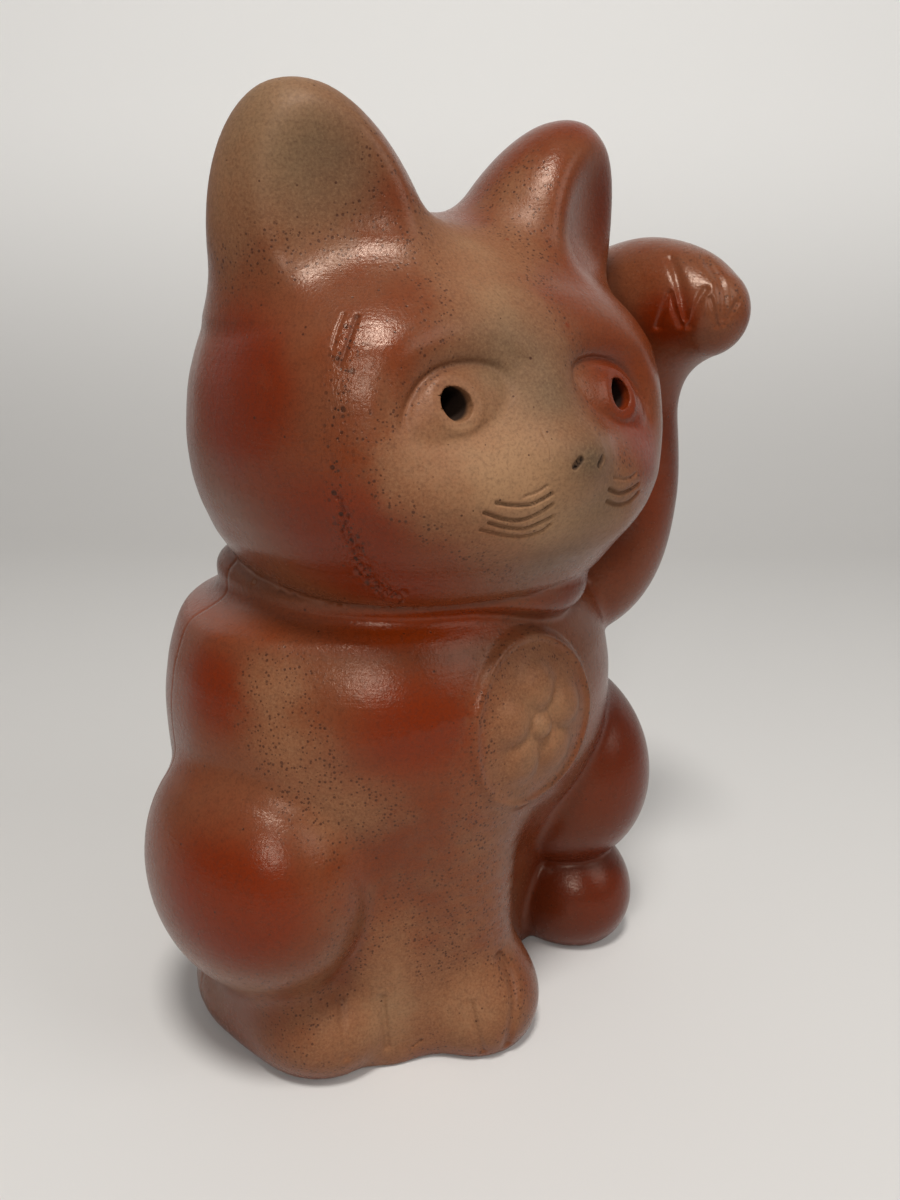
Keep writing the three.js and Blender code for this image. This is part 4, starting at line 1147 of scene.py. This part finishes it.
def burnished_clay():
    r = Recipe("burnished_clay")
    ash, red, dark_and_shade, neck = r.masks("kiln")
    deep_shade, hollow_shade, smoke_and_shade, grit = r.masks("tooling_and_shade")
    broad = r.noise(38.0, 4.0, 0.55)
    patch = r.noise(150.0, 6.0, 0.62)
    fine = r.noise(800.0, 4.0, 0.6)
    grain = r.noise(1900.0, 3.0, 0.6)
    ash_edge = r.shaken(r.shaken(r.shaken(ash, broad, 0.3), patch, 0.3), fine, 0.2)
    red_edge = r.shaken(r.shaken(red, broad, 0.4), patch, 0.3)
    base = r.mix(r.step(broad, 0.35, 0.65), RUST, BROWN)
    base = r.mix(r.step(red_edge, 0.15, 0.75), base, RED)
    # Dark colour, partly painted shade on the side away from the key lamp
    base = r.mix(r.step(dark_and_shade, 0.15, 0.7), base, DARK)
    base = r.mix(neck, base, ORANGE)
    warm = r.step(ash_edge, 0.08, 0.55)
    pale = r.step(ash_edge, 0.5, 1.0)
    colour = r.mix(warm, base, CLAY)
    colour = r.mix(pale, colour, TAN)
    # Olive smoke, partly painted shade
    colour = r.mix(r.shaken(smoke_and_shade, patch, 0.3), colour, OLIVE)
    border = r.sum("MULTIPLY", r.sum("MULTIPLY", warm, r.sum("SUBTRACT", 1.0, warm)), 4.0)
    crowd = r.sum("MAXIMUM", r.step(border, 0.0, 0.7, 0.12, 0.8), grit)
    peppered = r.sum("MULTIPLY", r.dots(1500.0, 0.6, 0.35), crowd)
    sparse = r.sum("MULTIPLY", r.dots(460.0, 0.15, 0.6), 0.9)
    spots = r.sum("MAXIMUM", peppered, sparse)
    colour = r.mix(spots, colour, SPECKLE_AND_SHADE)
    stippled = r.sum("MULTIPLY", r.dots(700.0, 0.5, 0.3), r.sum("MULTIPLY", grit, 0.8))
    colour = r.mix(stippled, colour, BLACK_DOTS_AND_SHADE)
    colour = r.mix(r.sum("MULTIPLY", r.dots(150.0, 0.14, 0.9), 0.55), colour, RED)
    colour = r.mix(r.sum("MULTIPLY", r.step(fine, 0.42, 0.75), 0.2), colour, SPECKLE_AND_SHADE)
    colour = r.mix(r.step(grain, 0.45, 0.72, 0.0, 0.3), colour, SPECKLE_AND_SHADE)
    flecks = r.sum("MULTIPLY", r.step(grain, 0.5, 0.26, 0.0, 0.24), warm)
    colour = r.mix(flecks, colour, TAN)
    # Painted shade in hollows, in the speckle brown
    colour = r.mix(r.step(hollow_shade, 0.1, 0.9, 0.0, 0.5), colour, SPECKLE_AND_SHADE)
    # Painted shade in the tool cuts, pits and eye holes
    colour = r.mix(r.step(deep_shade, 0.1, 0.9, 0.0, 0.95), colour, BLACK_DOTS_AND_SHADE)
    r.join(r.shader.inputs["Base Color"], colour)
    gloss = r.step(ash_edge, 0.1, 0.65, 0.25, 0.52)
    gloss = r.shaken(r.shaken(gloss, patch, 0.12), fine, 0.14)
    gloss = r.sum("ADD", gloss, r.sum("MULTIPLY", hollow_shade, 0.2))
    gloss = r.sum("ADD", gloss, r.sum("MULTIPLY", deep_shade, 0.4))
    r.join(r.shader.inputs["Roughness"], gloss)
    r.shader.inputs["Specular IOR Level"].default_value = 0.34
    r.shader.inputs["Specular Tint"].default_value = (1.0, 0.78, 0.64, 1.0)
    strokes = r.noise(1.0, 3.0, 0.6, r.stretched(70.0, 70.0, 1500.0))
    stipple = r.sum("MULTIPLY", r.noise(1.0, 2.0, 0.6, r.stretched(1500.0, 1500.0, 420.0)), grit)
    normal = r.bump(r.sum("ADD", fine, r.sum("MULTIPLY", grain, 0.6)), 0.2, 0.0004)
    normal = r.bump(strokes, 0.12, 0.0003, normal)
    normal = r.bump(stipple, 0.5, 0.0006, normal)
    normal = r.bump(r.sum("SUBTRACT", 1.0, r.sum("MAXIMUM", spots, stippled)), 0.2, 0.0002, normal)
    r.join(r.shader.inputs["Normal"], normal)
    return r.material


# Unburnished underside
def bare_clay():
    r = Recipe("bare_clay")
    patch = r.noise(120.0, 6.0, 0.65)
    grain = r.noise(1800.0, 4.0, 0.7)
    colour = r.mix(r.step(patch, 0.3, 0.7), CLAY, BROWN)
    colour = r.mix(r.dots(500.0, 0.35, 0.6), colour, SPECKLE_AND_SHADE)
    r.join(r.shader.inputs["Base Color"], colour)
    r.join(r.shader.inputs["Roughness"], r.step(grain, 0.3, 0.7, 0.75, 0.92))
    r.join(r.shader.inputs["Normal"], r.bump(grain, 0.5, 0.0006))
    return r.material


clay = burnished_clay()
for piece in pieces.values():
    piece.data.materials.append(clay)
underside = bare_clay()
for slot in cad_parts["base_slab"].material_slots:
    slot.material = underside


SWEEP_FRONT = -0.9
SWEEP_BEND = 0.45
SWEEP_RADIUS = 0.35
SWEEP_TOP = 1.6
SWEEP_SIDE = 1.6
SWEEP_GLOW = 0.27


# Pale floor that curves up into a plain backdrop; its glow is seen and mirrored but lights nothing
def build_stage():
    r = Recipe("pale_sweep")
    r.shader.inputs["Base Color"].default_value = (0.7, 0.685, 0.665, 1.0)
    r.shader.inputs["Roughness"].default_value = 0.85
    r.shader.inputs["Specular IOR Level"].default_value = 0.2
    r.shader.inputs["Emission Color"].default_value = (1.0, 0.985, 0.95, 1.0)
    path = r.tree.nodes.new("ShaderNodeLightPath").outputs
    seen = r.sum("MAXIMUM", path["Is Camera Ray"], path["Is Glossy Ray"])
    seen = r.sum("MAXIMUM", seen, path["Is Transmission Ray"])
    place = r.tree.nodes.new("ShaderNodeSeparateXYZ")
    r.join(place.inputs["Vector"], r.place)
    height = r.step(place.outputs["Z"], 0.0, SWEEP_RADIUS, 0.0, SWEEP_GLOW)
    r.join(r.shader.inputs["Emission Strength"], r.sum("MULTIPLY", seen, height))
    profile = [(SWEEP_FRONT, 0.0), (SWEEP_BEND, 0.0)]
    for i in range(1, 13):
        angle = np.pi / 2 * i / 12
        along = SWEEP_BEND + SWEEP_RADIUS * np.sin(angle)
        profile.append((along, SWEEP_RADIUS - SWEEP_RADIUS * np.cos(angle)))
    profile.append((SWEEP_BEND + SWEEP_RADIUS, SWEEP_TOP))
    toward = Vector((0.62, 0.785, 0.0)).normalized()
    across = Vector((toward.y, -toward.x, 0.0))
    points, faces = [], []
    for along, up in profile:
        for side in (-SWEEP_SIDE, SWEEP_SIDE):
            spot = toward * along + across * side
            points.append((spot.x, spot.y, up))
    for i in range(len(profile) - 1):
        faces.append([2 * i, 2 * i + 1, 2 * i + 3, 2 * i + 2])
    floor = bpy.data.objects.new("sweep", plain_mesh("sweep", np.array(points), faces))
    floor.data.polygons.foreach_set("use_smooth", np.ones(len(faces), bool))
    floor.data.materials.append(r.material)
    bpy.context.collection.objects.link(floor)


WORLD_STRENGTH = 0.2
LAMP_TARGET = Vector((0.0, 0.0, 0.09))

# Soft studio lamps: name, place, size in metres, power and colour
LAMPS = [
    ("key", (-0.24, -0.3, 0.98), 0.22, 6.4, (1.0, 0.98, 0.95)),
    ("front", (-0.62, -0.72, 0.62), 0.2, 2.6, (1.0, 0.99, 0.97)),
    ("fill", (0.35, -0.75, 0.7), 0.6, 2.0, (1.0, 1.0, 1.0)),
]


def area_light(name, place, size, power, colour):
    data = bpy.data.lights.new(name, "AREA")
    data.shape = "DISK"
    data.size = size
    data.energy = power
    data.color = colour
    lamp = bpy.data.objects.new(name, data)
    lamp.location = place
    lamp.rotation_euler = (LAMP_TARGET - Vector(place)).to_track_quat("-Z", "Y").to_euler()
    bpy.context.collection.objects.link(lamp)


def build_lights():
    world = bpy.data.worlds.new("studio")
    world.use_nodes = True
    sky = world.node_tree.nodes["Background"]
    sky.inputs["Color"].default_value = (1.0, 1.0, 1.0, 1.0)
    sky.inputs["Strength"].default_value = WORLD_STRENGTH
    bpy.context.scene.world = world
    for lamp in LAMPS:
        area_light(*lamp)


# Camera fitted to the photograph, in a frame of 900 by 1200
CAMERA_AT = Vector((-0.1330, -0.1829, 0.1634))
CAMERA_TARGET = Vector((0.0115, 0.0, 0.0948))
CAMERA_ROLL = np.radians(0.63)
FOCAL_PIXELS = 1015.0
FRAME_HEIGHT = 1200.0
SENSOR = 24.0


def build_camera():
    data = bpy.data.cameras.new("photo_view")
    data.sensor_fit = "VERTICAL"
    data.sensor_height = SENSOR
    data.lens = FOCAL_PIXELS * SENSOR / FRAME_HEIGHT
    data.clip_start = 0.01
    data.dof.use_dof = False
    camera = bpy.data.objects.new("photo_view", data)
    turn = (CAMERA_TARGET - CAMERA_AT).to_track_quat("-Z", "Y").to_matrix().to_4x4()
    camera.matrix_world = Matrix.Translation(CAMERA_AT) @ turn @ Matrix.Rotation(CAMERA_ROLL, 4, "Z")
    bpy.context.collection.objects.link(camera)
    bpy.context.scene.camera = camera


build_stage()
build_lights()
build_camera()
bpy.context.scene.view_settings.view_transform = "Standard"
